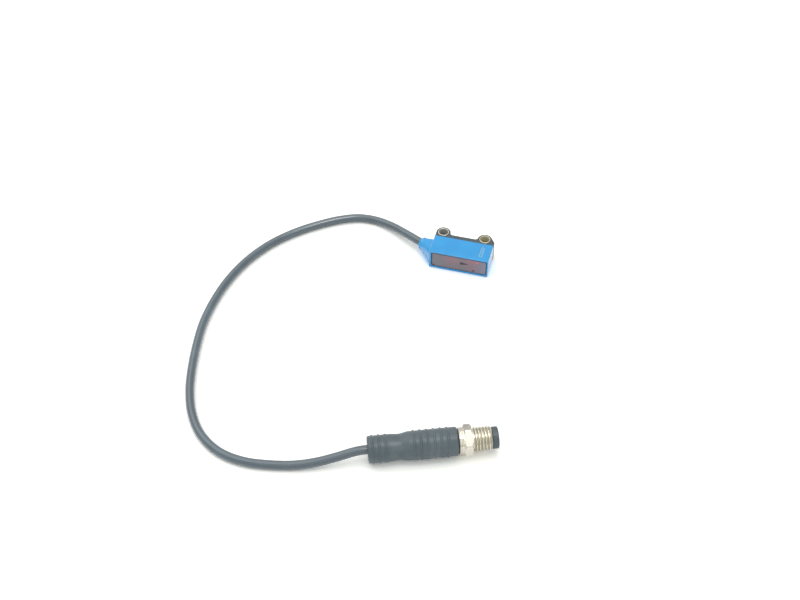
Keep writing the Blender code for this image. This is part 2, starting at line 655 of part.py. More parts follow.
def build_electronics(head):
    """Circuit board with the light source, the receiver, the chip and the indicators."""
    board = block("circuit_board", BOARD_LOW, BOARD_HIGH)
    link("circuit_board", board, head, "green_board")

    emitter = on_board("emitter_led", (EMITTER_PLACE, OPTIC_HEIGHT), (*EMITTER_CHIP, OPTO_HEIGHT),
                       "red_emitter", head)
    radius = DOME_DIAMETER / 2
    base = BOARD_FRONT - SEAT - OPTO_HEIGHT / 2
    rings = []
    for k in range(QUARTER + 1):
        turn = 0.5 * pi * k / QUARTER
        spread = radius * cos(turn) if k < QUARTER else 0.0
        depth = base - OPTO_HEIGHT / 2 - radius * sin(turn)
        circle = arc((EMITTER_PLACE, OPTIC_HEIGHT), spread, 0.0, tau, COARSE)[:-1]
        rings.append([(x, depth, z) for x, z in (circle if spread else circle[:1])])
    foot = [(x, base, z) for x, _, z in rings[0]]
    dome = cutter("emitter_dome", skin("emitter_dome", [foot] + rings), head)
    combine(emitter, dome, "UNION")

    on_board("receiver_photodiode", (RECEIVER_PLACE, OPTIC_HEIGHT),
             (*RECEIVER_CHIP, OPTO_HEIGHT), "photodiode", head)

    top = BOARD_HIGH.z - INDICATOR_HEIGHT / 2
    size = (INDICATOR_WIDTH, INDICATOR_HEIGHT, OPTO_HEIGHT)
    for name, look, side in (("power_led", "green_indicator", -0.5),
                             ("signal_led", "yellow_indicator", 0.5)):
        on_board(name, (GUIDE_PLACE + side * INDICATOR_PITCH, top), size, look, head)

    centre = (BOARD_LOW.x + BOARD_HIGH.x) / 2
    width, height, depth = EVALUATION_CHIP
    low = (centre - width / 2, BOARD_BACK + SEAT, OPTIC_HEIGHT - height / 2)
    high = (centre + width / 2, BOARD_BACK + SEAT + depth, OPTIC_HEIGHT + height / 2)
    link("evaluation_chip", block("evaluation_chip", low, high), head, "black_chip")

    guide = prism("indicator_light_guide", guide_outline(0.0), CAVITY_HIGH.z, THICKNESS, "XY")
    link("indicator_light_guide", guide, head, "milky_guide")


def build_seal(head):
    """Rubber ring that seals the cable in the end wall."""
    rings = []
    inner, outer = CABLE_BORE / 2, SEAL_DIAMETER / 2
    for distance, radius in ((-SEAL_LENGTH, outer), (0.0, outer), (0.0, inner),
                             (-SEAL_LENGTH, inner)):
        rings.append(spout_ring(distance, radius, MEDIUM))
    link("cable_seal", skin("cable_seal", rings, around=True), head, "black_seal")


def smooth_line(points, pitch):
    """Points at an even pitch on a smooth curve through the given points.

    The curve is a cubic through each point, with the slope of its two neighbours, weighted by
    the lengths of the stretches on each side.
    """
    nodes = np.array([tuple(point) for point in points], dtype=float)
    stretches = np.linalg.norm(np.diff(nodes, axis=0), axis=1)
    chords = np.diff(nodes, axis=0) / stretches[:, None]
    slopes = np.empty_like(nodes)
    slopes[0], slopes[-1] = chords[0], chords[-1]
    before, after = stretches[:-1, None], stretches[1:, None]
    slopes[1:-1] = (chords[:-1] * after + chords[1:] * before) / (before + after)
    dense = []
    for start, end, slope_in, slope_out, length in zip(nodes, nodes[1:], slopes, slopes[1:],
                                                       stretches):
        for t in np.linspace(0.0, 1.0, MEDIUM, endpoint=False):
            dense.append((2 * t ** 3 - 3 * t ** 2 + 1) * start
                         + (t ** 3 - 2 * t ** 2 + t) * length * slope_in
                         + (3 * t ** 2 - 2 * t ** 3) * end
                         + (t ** 3 - t ** 2) * length * slope_out)
    dense.append(nodes[-1])
    dense = np.array(dense)
    travelled = np.append(0.0, np.cumsum(np.linalg.norm(np.diff(dense, axis=0), axis=1)))
    count = ceil(travelled[-1] / pitch) + 1
    wanted = np.linspace(0.0, travelled[-1], count)
    return [Vector([np.interp(w, travelled, dense[:, axis]) for axis in range(3)]) for w in wanted]


def tube(name, points, diameter, parent, look):
    """Round tube with filled ends along a polyline."""
    curve = bpy.data.curves.new(name, "CURVE")
    curve.dimensions = "3D"
    curve.bevel_depth = diameter / 2 * MM
    curve.bevel_resolution = 2
    curve.use_fill_caps = True
    spline = curve.splines.new("POLY")
    spline.points.add(len(points) - 1)
    for target, point in zip(spline.points, points):
        target.co = (*(Vector(point) * MM), 1.0)
    return link(name, curve, parent, look)


def plug_matrix():
    """Placement of the plug frame in the head frame."""
    turn = Matrix.Rotation(PLUG_HEADING, 4, "Z") @ Matrix.Rotation(-PLUG_TILT, 4, "Y")
    return Matrix.Translation((*PLUG_PLACE, PLUG_HEIGHT)) @ turn


def build_cable(head):
    """Cable from the head's cavity, over the table, into the plug."""
    lying = CABLE_DIAMETER / 2 + TABLE
    plug = plug_matrix()
    route = [spout_point(distance) for distance in (-CABLE_INNER_END, 2.0, SPOUT_REACH)]
    route += [Vector((x, y, lying + lift)) for x, y, lift in CABLE_ROUTE]
    route += [plug @ Vector((along, 0.0, 0.0)) for along in (-2.5, 4.0, PLUG_CABLE_DEPTH)]
    points = smooth_line(route, POINT_PITCH * CABLE_DIAMETER)
    tube("cable", points, CABLE_DIAMETER, head, "cable_jacket")


def build_head_cores(head):
    """Four cores from the cable's inner end to their pads on the board."""
    start = -CABLE_INNER_END - SEAT
    up = Vector((0.0, 0.0, 1.0))
    pad_x = BOARD_LOW.x + PAD_FROM_BOARD_END
    for k, colour in enumerate(("brown", "white", "blue", "black")):
        level = OPTIC_HEIGHT + (k - 1.5) * PAD_SPACING
        angle = radians(225.0 + 90.0 * k)
        side = (SPOUT_SIDE * cos(angle) + up * sin(angle)) * CORE_CIRCLE
        leave = spout_point(start) + side
        pad = Vector((pad_x, BOARD_FRONT - SEAT, level))
        route = [leave, leave - SPOUT_OUT * CORE_STRAIGHT,
                 pad - Vector((CORE_SWEEP, CORE_RISE, 0.0)), pad]
        tube(f"{colour}_core", smooth_line(route, CORE_DIAMETER), CORE_DIAMETER, head,
             f"{colour}_core")


def moulding_radius(along):
    """Radius of the plug's moulding between its ribs: tail, waist for the fingers, and grip."""
    stretches = ((TAIL_LENGTH, TAIL_DIAMETER / 2, WAIST_PLACE, WAIST_DIAMETER / 2),
                 (WAIST_PLACE, WAIST_DIAMETER / 2, GRIP_START, GRIP_DIAMETER / 2))
    if along <= TAIL_LENGTH:
        return TAIL_DIAMETER / 2
    for start, first, end, last in stretches:
        if along < end:
            share = (1.0 - cos(pi * (along - start) / (end - start))) / 2
            return first + (last - first) * share
    return GRIP_DIAMETER / 2


def moulding_profile():
    """Outer profile of the plug's moulding, from its rear end to its front end."""
    turns = [0.5 * pi * k / QUARTER for k in range(QUARTER + 1)]
    profile = [(TAIL_ROUND * (1.0 - cos(t)), TAIL_DIAMETER / 2 - TAIL_ROUND * (1.0 - sin(t)))
               for t in turns]
    centres = [TAIL_RIB_START + RIB_PITCH * k for k in range(TAIL_RIBS)]
    bends = [TAIL_LENGTH + (GRIP_START - TAIL_LENGTH) * k / (2 * QUARTER)
             for k in range(1, 2 * QUARTER + 1)]
    for along in centres + bends + [GRIP_RIB_START + RIB_PITCH * k for k in range(GRIP_RIBS)]:
        if along in bends:
            profile.append((along, moulding_radius(along)))
            continue
        for side, rise in ((-0.5, 0.0), (-0.2, 1.0), (0.2, 1.0), (0.5, 0.0)):
            place = along + side * RIB_WIDTH
            profile.append((place, moulding_radius(place) + rise * RIB_HEIGHT))
    return profile + [(PLUG_LENGTH - GRIP_ROUND * (1.0 - sin(t)),
                       GRIP_DIAMETER / 2 - GRIP_ROUND * (1.0 - cos(t))) for t in turns]


def build_plug(plug):
    """Moulded grip of the plug, with its cable bore and the seat of the contact carrier."""
    shaft = SHAFT_DIAMETER / 2 + PRESS
    anchor = ANCHOR_DIAMETER / 2 + PRESS
    bore = CABLE_BORE / 2
    web = (PLUG_CABLE_DEPTH + SEAT, CARRIER_REAR - SEAT)
    profile = [(web[0], 0.0), (web[0], bore), (0.0, bore)] + moulding_profile()
    profile += [(PLUG_LENGTH, shaft), (ANCHOR_FRONT + PRESS, shaft), (ANCHOR_FRONT + PRESS, anchor),
                (ANCHOR_FRONT - ANCHOR_LENGTH - PRESS, anchor),
                (ANCHOR_FRONT - ANCHOR_LENGTH - PRESS, shaft), (web[1], shaft), (web[1], 0.0)]
    moulding = link("plug_body", turned("plug_body", profile, MEDIUM), plug, "plug_moulding")

    for k, (angle, colour) in enumerate(zip(PIN_ANGLES, ("brown", "white", "blue", "black"))):
        across = Vector((0.0, cos(angle), sin(angle)))
        back = Vector((web[0], 0.0, 0.0)) + across * CORE_CIRCLE
        front = Vector((web[1], 0.0, 0.0)) + across * PIN_CIRCLE / 2
        along = (front - back).normalized()
        channel = rod(f"core_channel_{k}", back - along * OVERSHOOT, front + along * OVERSHOOT,
                      CORE_DIAMETER + 2 * PRESS, COARSE)
        combine(moulding, cutter(f"core_channel_{k}", channel, plug))
        points = [back, back.lerp(front, 0.5), front]
        tube(f"{colour}_plug_core", points, CORE_DIAMETER, plug, f"{colour}_core")


def rod(name, start, end, diameter, segments):
    """Straight round rod between two points."""
    axis = (end - start).normalized()
    across = axis.orthogonal().normalized()
    other = axis.cross(across)
    rings = []
    for point in (start, end):
        rings.append([point + (across * cos(tau * k / segments) + other * sin(tau * k / segments))
                      * diameter / 2 for k in range(segments)])
    return skin(name, rings)


def build_contact_carrier(plug):
    """Contact carrier: the shaft of the coupling screw, with the open socket at the tip."""
    shaft, collar = SHAFT_DIAMETER / 2, COLLAR_DIAMETER / 2
    anchor, socket = ANCHOR_DIAMETER / 2, SOCKET_DIAMETER / 2
    profile = ((CARRIER_REAR, 0.0), (CARRIER_REAR, shaft), (ANCHOR_FRONT - ANCHOR_LENGTH, shaft),
               (ANCHOR_FRONT - ANCHOR_LENGTH, anchor), (ANCHOR_FRONT, anchor),
               (ANCHOR_FRONT, shaft), (COLLAR_BACK, shaft), (COLLAR_BACK, collar),
               (PLUG_TIP - COLLAR_CHAMFER, collar), (PLUG_TIP, collar - COLLAR_CHAMFER),
               (PLUG_TIP, socket), (SOCKET_FLOOR, socket), (SOCKET_FLOOR, 0.0))
    carrier = link("contact_carrier", turned("contact_carrier", profile, MEDIUM), plug,
                   "black_carrier")
    for k, angle in enumerate(PIN_ANGLES, start=1):
        across = Vector((0.0, cos(angle), sin(angle))) * PIN_CIRCLE / 2
        start = Vector((CARRIER_REAR - OVERSHOOT, 0.0, 0.0)) + across
        end = Vector((SOCKET_FLOOR + OVERSHOOT, 0.0, 0.0)) + across
        hole = rod(f"pin_hole_{k}", start, end, PIN_DIAMETER + 2 * PRESS, COARSE)
        combine(carrier, cutter(f"pin_hole_{k}", hole, plug))


def build_pins(plug):
    """Four gold-plated contact pins with rounded tips, one for each core."""
    radius = PIN_DIAMETER / 2
    tip = PLUG_TIP - PIN_SETBACK
    back = CARRIER_REAR + SEAT
    profile = [(back, 0.0), (back, radius), (tip - PIN_TIP, radius),
               (tip - PIN_TIP / 2, radius * PIN_TIP_SHOULDER), (tip, radius * PIN_TIP_END),
               (tip, 0.0)]
    for k, angle in enumerate(PIN_ANGLES, start=1):
        pin = link(f"contact_pin_{k}", turned(f"contact_pin_{k}", profile, COARSE), plug, "gold")
        pin.location = Vector((0.0, cos(angle), sin(angle))) * PIN_CIRCLE / 2 * MM


def hexagon_radius(angle):
    """Radius of the hexagon in this direction, with its corners turned round."""
    from_flat = (angle - HEXAGON_TURN) % (pi / 3) - pi / 6
    return min(HEXAGON_CORNERS / 2, HEXAGON_FLATS / 2 / cos(from_flat))


def build_coupling_screw(plug):
    """Nickel-plated coupling screw: grooved ring, hexagon and M8 thread, free on its shaft."""
    angles = [tau * k / SCREW_FACETS for k in range(SCREW_FACETS)]
    grip, flats, thread = RING_DIAMETER / 2, HEXAGON_FLATS / 2, THREAD_DIAMETER / 2
    bore = SHAFT_DIAMETER / 2 + RUN

    def ring(along, radius):
        return [(along, radius * cos(a), radius * sin(a)) for a in angles]

    def hexagon_ring(end, inward):
        rings = []
        for a in angles:
            radius = hexagon_radius(a)
            back = (radius - flats) * tan(HEXAGON_CHAMFER)
            rings.append((end + inward * back, radius * cos(a), radius * sin(a)))
        return rings

    rings = [ring(SCREW_BACK, grip - RING_CHAMFER), ring(SCREW_BACK + RING_CHAMFER, grip)]
    first = SCREW_BACK + (RING_LENGTH - RING_GROOVE_PITCH * (RING_GROOVES - 1)) / 2
    for k in range(RING_GROOVES):
        middle = first + RING_GROOVE_PITCH * k
        rings += [ring(middle - RING_GROOVE_DEPTH, grip), ring(middle, grip - RING_GROOVE_DEPTH),
                  ring(middle + RING_GROOVE_DEPTH, grip)]
    rings += [
        ring(HEXAGON_BACK, grip),
        ring(HEXAGON_BACK, flats),
        hexagon_ring(HEXAGON_BACK, 1),
        hexagon_ring(HEXAGON_FRONT, -1),
        ring(HEXAGON_FRONT, flats),
        ring(HEXAGON_FRONT, thread - UNDERCUT_DEPTH),
        ring(HEXAGON_FRONT + UNDERCUT_LENGTH, thread - UNDERCUT_DEPTH),
        ring(HEXAGON_FRONT + UNDERCUT_LENGTH + UNDERCUT_SLOPE, thread),
        ring(THREAD_FRONT - THREAD_CHAMFER, thread),
        ring(THREAD_FRONT, thread - THREAD_CHAMFER),
        ring(THREAD_FRONT, bore),
        ring(SCREW_BACK, bore),
    ]
    link("coupling_screw", skin("coupling_screw", rings, around=True), plug, "nickel")


def main():
    """Build the head, the cable and the plug."""
    clear_scene()
    head = frame("head_frame", ((HEAD_REACH - LENGTH) / 2, -HEAD_DEPTH / 2, 0.0))
    build_shell(head)
    build_window(head)
    build_cover(head)
    build_bushings(head)
    build_optics(head)
    build_electronics(head)
    build_seal(head)
    build_cable(head)
    build_head_cores(head)

    place = plug_matrix()
    plug = frame("plug_frame", place.translation, place.to_3x3(), head)
    build_plug(plug)
    build_contact_carrier(plug)
    build_pins(plug)
    build_coupling_screw(plug)


main()
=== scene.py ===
"""Looks of the diffuse photoelectric sensor: its moulded head, its cable and its M8 plug.

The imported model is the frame, and this script builds the fine pieces round it. Sizes are in
millimetres, in the two frames of the part. The head frame has its corner at the cable end of the
front face, with X along the head, Y back to the ears and Z up. The plug frame starts at the plug's
rear end, with X along its axis. A finished piece is a plain mesh in metres, in the part frame.
"""

import json
import logging
from dataclasses import dataclass
from enum import Enum
from math import acos, asin, atan2, ceil, cos, hypot, pi, radians, sin, sqrt, tan, tau
from typing import Iterable, Sequence

import bmesh
import bpy
import numpy as np
from mathutils import Matrix, Vector


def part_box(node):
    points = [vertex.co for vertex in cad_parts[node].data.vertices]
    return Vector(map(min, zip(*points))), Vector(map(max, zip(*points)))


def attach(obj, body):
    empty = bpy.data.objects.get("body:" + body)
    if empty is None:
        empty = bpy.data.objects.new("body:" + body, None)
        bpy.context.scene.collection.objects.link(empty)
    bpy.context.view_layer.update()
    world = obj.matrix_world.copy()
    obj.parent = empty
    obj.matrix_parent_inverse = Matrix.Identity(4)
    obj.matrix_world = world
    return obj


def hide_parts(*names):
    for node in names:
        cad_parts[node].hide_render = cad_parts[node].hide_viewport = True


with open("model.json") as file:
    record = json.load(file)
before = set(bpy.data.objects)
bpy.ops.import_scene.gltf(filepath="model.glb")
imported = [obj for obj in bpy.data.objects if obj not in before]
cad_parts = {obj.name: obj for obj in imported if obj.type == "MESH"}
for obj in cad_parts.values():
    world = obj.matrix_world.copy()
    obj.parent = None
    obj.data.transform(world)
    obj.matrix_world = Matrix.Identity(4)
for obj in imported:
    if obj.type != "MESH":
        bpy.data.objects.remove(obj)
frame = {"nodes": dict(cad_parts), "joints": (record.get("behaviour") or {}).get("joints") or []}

LOG = logging.getLogger("sensor")
MM = 0.001
UP = Vector((0.0, 0.0, 1.0))
# How far a tool runs past the face that it cuts, in millimetres
PAST = 1.0

Point2 = tuple[float, float]
Outline = list[Point2]
Values = dict[str, object]
Step = tuple


class Body(Enum):
    """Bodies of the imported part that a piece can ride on."""

    SENSOR = "sensor"
    SCREW = "coupling_screw"


class Cut(Enum):
    """How one solid acts on another."""

    REMOVE = "DIFFERENCE"
    JOIN = "UNION"


class Ray(Enum):
    """Rays that see the white background instead of the lighting."""

    CAMERA = "Is Camera Ray"
    GLOSSY = "Is Glossy Ray"
    TRANSMISSION = "Is Transmission Ray"


def linear(code: str) -> tuple[float, float, float, float]:
    """Turn an sRGB hex colour into linear values.

    Args:
        code: The colour, such as "#30a0e0".

    Returns:
        Red, green, blue and full alpha.
    """
    channels = [int(code[k:k + 2], 16) / 255 for k in (1, 3, 5)]
    red, green, blue = [c / 12.92 if c <= 0.04045 else ((c + 0.055) / 1.055) ** 2.4
                        for c in channels]
    return red, green, blue, 1.0


def add_node(tree: bpy.types.NodeTree, kind: str, inputs: dict | None = None,
             **settings: object) -> bpy.types.Node:
    """Add a node with its settings, values and links.

    Args:
        tree: The tree that gets the node.
        kind: The node's type name.
        inputs: Values or output sockets, by the name or the number of the input.
        **settings: Properties of the node, set before its inputs.

    Returns:
        The new node.
    """
    node = tree.nodes.new(kind)
    for name, value in settings.items():
        setattr(node, name, value)
    for key, value in (inputs or {}).items():
        if isinstance(value, bpy.types.NodeSocket):
            tree.links.new(value, node.inputs[key])
        else:
            node.inputs[key].default_value = value
    return node


def work_out(tree: bpy.types.NodeTree, known: Values, steps: Iterable[Step]) -> Values:
    """Add the math nodes of a formula, one for each step.

    Args:
        tree: The tree that gets the nodes.
        known: Sockets and numbers by name.
        steps: Each a name for the result, an operation and the names or numbers that it takes.

    Returns:
        The known values with every step's result.
    """
    values = dict(known)
    for result, operation, *terms in steps:
        inputs = {k: values[t] if isinstance(t, str) else t for k, t in enumerate(terms)}
        values[result] = add_node(tree, "ShaderNodeMath", inputs, operation=operation).outputs[0]
    return values


# Finishes


@dataclass(frozen=True)
class Finish:
    """What all finishes share: a name, a colour, and patterns that several of them use.

    The patterns lie in Object coordinates, so their scales come from sizes in millimetres.
    """

    name: str
    colour: str

    def material(self) -> bpy.types.Material:
        """Return the material of this finish, made on its first use."""
        made = bpy.data.materials.get(self.name)
        if made is None:
            made = bpy.data.materials.new(self.name)
            made.use_nodes = True
            self.dress(made.node_tree, made.node_tree.nodes["Principled BSDF"])
        return made

    def dress(self, tree: bpy.types.NodeTree, shader: bpy.types.Node) -> None:
        """Set the shader and the nodes before it; each finish has its own.

        Args:
            tree: The material's tree.
            shader: The Principled BSDF.
        """
        raise NotImplementedError

    def noise(self, tree: bpy.types.NodeTree, size: float,
              detail: float) -> bpy.types.NodeSocket:
        """Add a noise of a real size.

        Args:
            tree: The material's tree.
            size: Size of its largest features in millimetres.
            detail: How many finer layers it has.

        Returns:
            The noise, from 0 to 1.
        """
        place = add_node(tree, "ShaderNodeTexCoord").outputs["Object"]
        inputs = {"Vector": place, "Scale": 1.0 / (size * MM), "Detail": detail}
        return add_node(tree, "ShaderNodeTexNoise", inputs).outputs[0]

    def span(self, tree: bpy.types.NodeTree, value: bpy.types.NodeSocket, start: Point2,
             end: Point2) -> bpy.types.NodeSocket:
        """Map a range of a value onto another, held at both ends.

        Args:
            tree: The material's tree.
            value: What is mapped.
            start: The range's first value and what it becomes.
            end: The range's last value and what it becomes.

        Returns:
            The mapped value.
        """
        inputs = {"Value": value, "From Min": start[0], "From Max": end[0], "To Min": start[1],
                  "To Max": end[1]}
        return add_node(tree, "ShaderNodeMapRange", inputs).outputs[0]

    def blend(self, tree: bpy.types.NodeTree, share: object, first: object,
              second: object) -> bpy.types.NodeSocket:
        """Mix two colours.

        Args:
            tree: The material's tree.
            share: How much of the second colour there is.
            first: A hex colour or a socket.
            second: A hex colour or a socket.

        Returns:
            The mixed colour.
        """
        ends = [linear(c) if isinstance(c, str) else c for c in (first, second)]
        inputs = {0: share, 6: ends[0], 7: ends[1]}
        return add_node(tree, "ShaderNodeMix", inputs, data_type="RGBA").outputs[2]

    def relief(self, tree: bpy.types.NodeTree, shader: bpy.types.Node,
               height: bpy.types.NodeSocket, depth: float) -> None:
        """Give the surface a relief.

        Args:
            tree: The material's tree.
            shader: The Principled BSDF.
            height: The relief from 0 to 1.
            depth: Its depth in millimetres.
        """
        bump = add_node(tree, "ShaderNodeBump", {"Strength": 1.0, "Distance": depth * MM,
                                                 "Height": height})
        tree.links.new(bump.outputs[0], shader.inputs["Normal"])

    def sheen(self, tree: bpy.types.NodeTree, shader: bpy.types.Node,
              pattern: bpy.types.NodeSocket, smooth: float, rough: float) -> None:
        """Let the roughness follow a noise.

        Args:
            tree: The material's tree.
            shader: The Principled BSDF.
            pattern: The noise, most of which lies from 0.3 to 0.7.
            smooth: Roughness where the noise is low.
            rough: Roughness where it is high.
        """
        value = self.span(tree, pattern, (0.3, smooth), (0.7, rough))
        tree.links.new(value, shader.inputs["Roughness"])


@dataclass(frozen=True)
class MouldedPlastic(Finish):
    """Injection-moulded plastic: faint flow clouds, the mould's grain and a painted edge
    highlight.

    The eye gets an even satin colour that is never quite flat, and a soft sheen.
    """

    cloud: str = "#808080"
    cloud_size: float = 7.0
    cloud_share: float = 0.5
    edge_highlight: str = ""
    highlight_width: float = 0.25
    highlight_share: float = 0.5
    roughness: float = 0.45
    uneven: float = 0.08
    specular: float = 0.5
    grain: float = 0.22
    grain_depth: float = 0.006
    coat: float = 0.0
    coat_roughness: float = 0.12

    def dress(self, tree: bpy.types.NodeTree, shader: bpy.types.Node) -> None:
        """Set the clouded colour, the painted edge highlight, the sheen and the grain.

        Args:
            tree: The material's tree.
            shader: The Principled BSDF.
        """
        clouds = self.noise(tree, self.cloud_size, 3.0)
        share = self.span(tree, clouds, (0.35, 0.0), (0.65, self.cloud_share))
        colour = self.blend(tree, share, self.colour, self.cloud)
        # Painted highlight: a paler colour along the rounded edges, as where they catch the light
        if self.edge_highlight:
            colour = self.blend(tree, self.edges(tree), colour, self.edge_highlight)
        tree.links.new(colour, shader.inputs["Base Color"])
        grain = self.noise(tree, self.grain, 2.0)
        self.sheen(tree, shader, grain, self.roughness - self.uneven, self.roughness + self.uneven)
        self.relief(tree, shader, grain, self.grain_depth)
        shader.inputs["Specular IOR Level"].default_value = self.specular
        shader.inputs["Coat Weight"].default_value = self.coat
        shader.inputs["Coat Roughness"].default_value = self.coat_roughness

    def edges(self, tree: bpy.types.NodeTree) -> bpy.types.NodeSocket:
        """Return a mask of the rounded edges for the painted highlight, broken up by noise.

        Args:
            tree: The material's tree.

        Returns:
            The mask, from 0 to the painted highlight's share.
        """
        flat, bent, break_size = 0.995, 0.9, 1.6
        rounded = add_node(tree, "ShaderNodeBevel", {"Radius": self.highlight_width * MM}, samples=6)
        true = add_node(tree, "ShaderNodeNewGeometry").outputs["Normal"]
        turn = add_node(tree, "ShaderNodeVectorMath", {0: rounded.outputs[0], 1: true},
                        operation="DOT_PRODUCT").outputs["Value"]
        mask = self.span(tree, turn, (flat, 0.0), (bent, self.highlight_share))
        broken_up = self.span(tree, self.noise(tree, break_size, 2.0), (0.3, 0.4), (0.6, 1.0))
        return work_out(tree, {"mask": mask, "broken_up": broken_up},
                        (("both", "MULTIPLY", "mask", "broken_up"),))["both"]


@dataclass(frozen=True)
class ExtrudedJacket(Finish):
    """PVC cable jacket, extruded: satin, with fine pores and a dusty bloom.

    The eye gets a dark grey that turns paler in patches, with a long soft highlight.
    """

    bloom: str = "#808080"
    bloom_size: float = 9.0
    bloom_share: float = 0.4
    roughness: float = 0.32
    pores: float = 0.35
    pore_depth: float = 0.006
    coat: float = 1.0
    coat_roughness: float = 0.14
    coat_index: float = 1.6

    def dress(self, tree: bpy.types.NodeTree, shader: bpy.types.Node) -> None:
        """Set the bloomed colour, the sheen and the pores.

        Args:
            tree: The material's tree.
            shader: The Principled BSDF.
        """
        dust = self.noise(tree, self.bloom_size, 4.0)
        share = self.span(tree, dust, (0.4, 0.0), (0.7, self.bloom_share))
        tree.links.new(self.blend(tree, share, self.colour, self.bloom),
                       shader.inputs["Base Color"])
        pores = self.noise(tree, self.pores, 3.0)
        self.sheen(tree, shader, dust, self.roughness - 0.05, self.roughness + 0.1)
        shader.inputs["Coat Weight"].default_value = self.coat
        shader.inputs["Coat Roughness"].default_value = self.coat_roughness
        shader.inputs["Coat IOR"].default_value = self.coat_index
        self.relief(tree, shader, pores, self.pore_depth)


@dataclass(frozen=True)
class TurnedMetal(Finish):
    """Turned and plated metal: fine tool marks round the axis, and stain where it was cut deep.

    The eye gets a bright plate that shows the turning lines, dull and stained in grooves and
    bores. The mesh attribute "sunk" holds how deep a place was cut, in millimetres.
    """

    stain: str = "#6a6450"
    stain_depth: float = 0.5
    stain_share: float = 0.8
    stain_dulling: float = 0.25
    patch: str = "#b8b09c"
    patch_size: float = 3.0
    patch_share: float = 0.35
    dust: float = 0.0
    roughness: float = 0.24
    marks: float = 0.12
    mark_depth: float = 0.004
    heading: float = 0.0
    pitch: float = 0.0

    def dress(self, tree: bpy.types.NodeTree, shader: bpy.types.Node) -> None:
        """Set the plate's colour, its stain, its sheen and the turning lines.

        Args:
            tree: The material's tree.
            shader: The Principled BSDF.
        """
        place = add_node(tree, "ShaderNodeTexCoord").outputs["Object"]
        turn = Matrix.Rotation(self.heading, 3, "Z") @ Matrix.Rotation(self.pitch, 3, "Y")
        along = add_node(tree, "ShaderNodeMapping",
                         {"Vector": place, "Rotation": turn.inverted().to_euler()})
        axis = add_node(tree, "ShaderNodeSeparateXYZ", {0: along.outputs[0]}).outputs[0]
        lines = add_node(tree, "ShaderNodeTexNoise",
                         {"W": axis, "Scale": 1.0 / (self.marks * MM), "Detail": 2.0},
                         noise_dimensions="1D").outputs[0]
        patches = self.noise(tree, self.patch_size, 3.0)
        plate = self.blend(tree, self.span(tree, patches, (0.4, 0.0), (0.7, self.patch_share)),
                           self.colour, self.patch)
        sunk = add_node(tree, "ShaderNodeAttribute", attribute_name="sunk").outputs["Fac"]
        dirt = self.span(tree, sunk, (0.0, 0.0), (self.stain_depth, self.stain_share))
        tree.links.new(self.blend(tree, dirt, plate, self.stain), shader.inputs["Base Color"])
        shine = self.span(tree, patches, (0.3, self.roughness - 0.05),
                          (0.7, self.roughness + 0.08))
        worked = work_out(tree, {"shine": shine, "dirt": dirt},
                          (("rough", "MULTIPLY_ADD", "dirt", self.stain_dulling, "shine"),
                           ("metal", "MULTIPLY_ADD", "dirt", -self.dust, 1.0)))
        tree.links.new(worked["rough"], shader.inputs["Roughness"])
        shader.inputs["Metallic"].default_value = 1.0
        if self.dust:
            tree.links.new(worked["metal"], shader.inputs["Metallic"])
        self.relief(tree, shader, lines, self.mark_depth)


@dataclass(frozen=True)
class PaintedGlow:
    """A soft round painted glow on the window, with its middle and half sizes along X and Z."""

    middle: Point2
    reach: Point2
    colour: str
    share: float
    core: float = 0.2


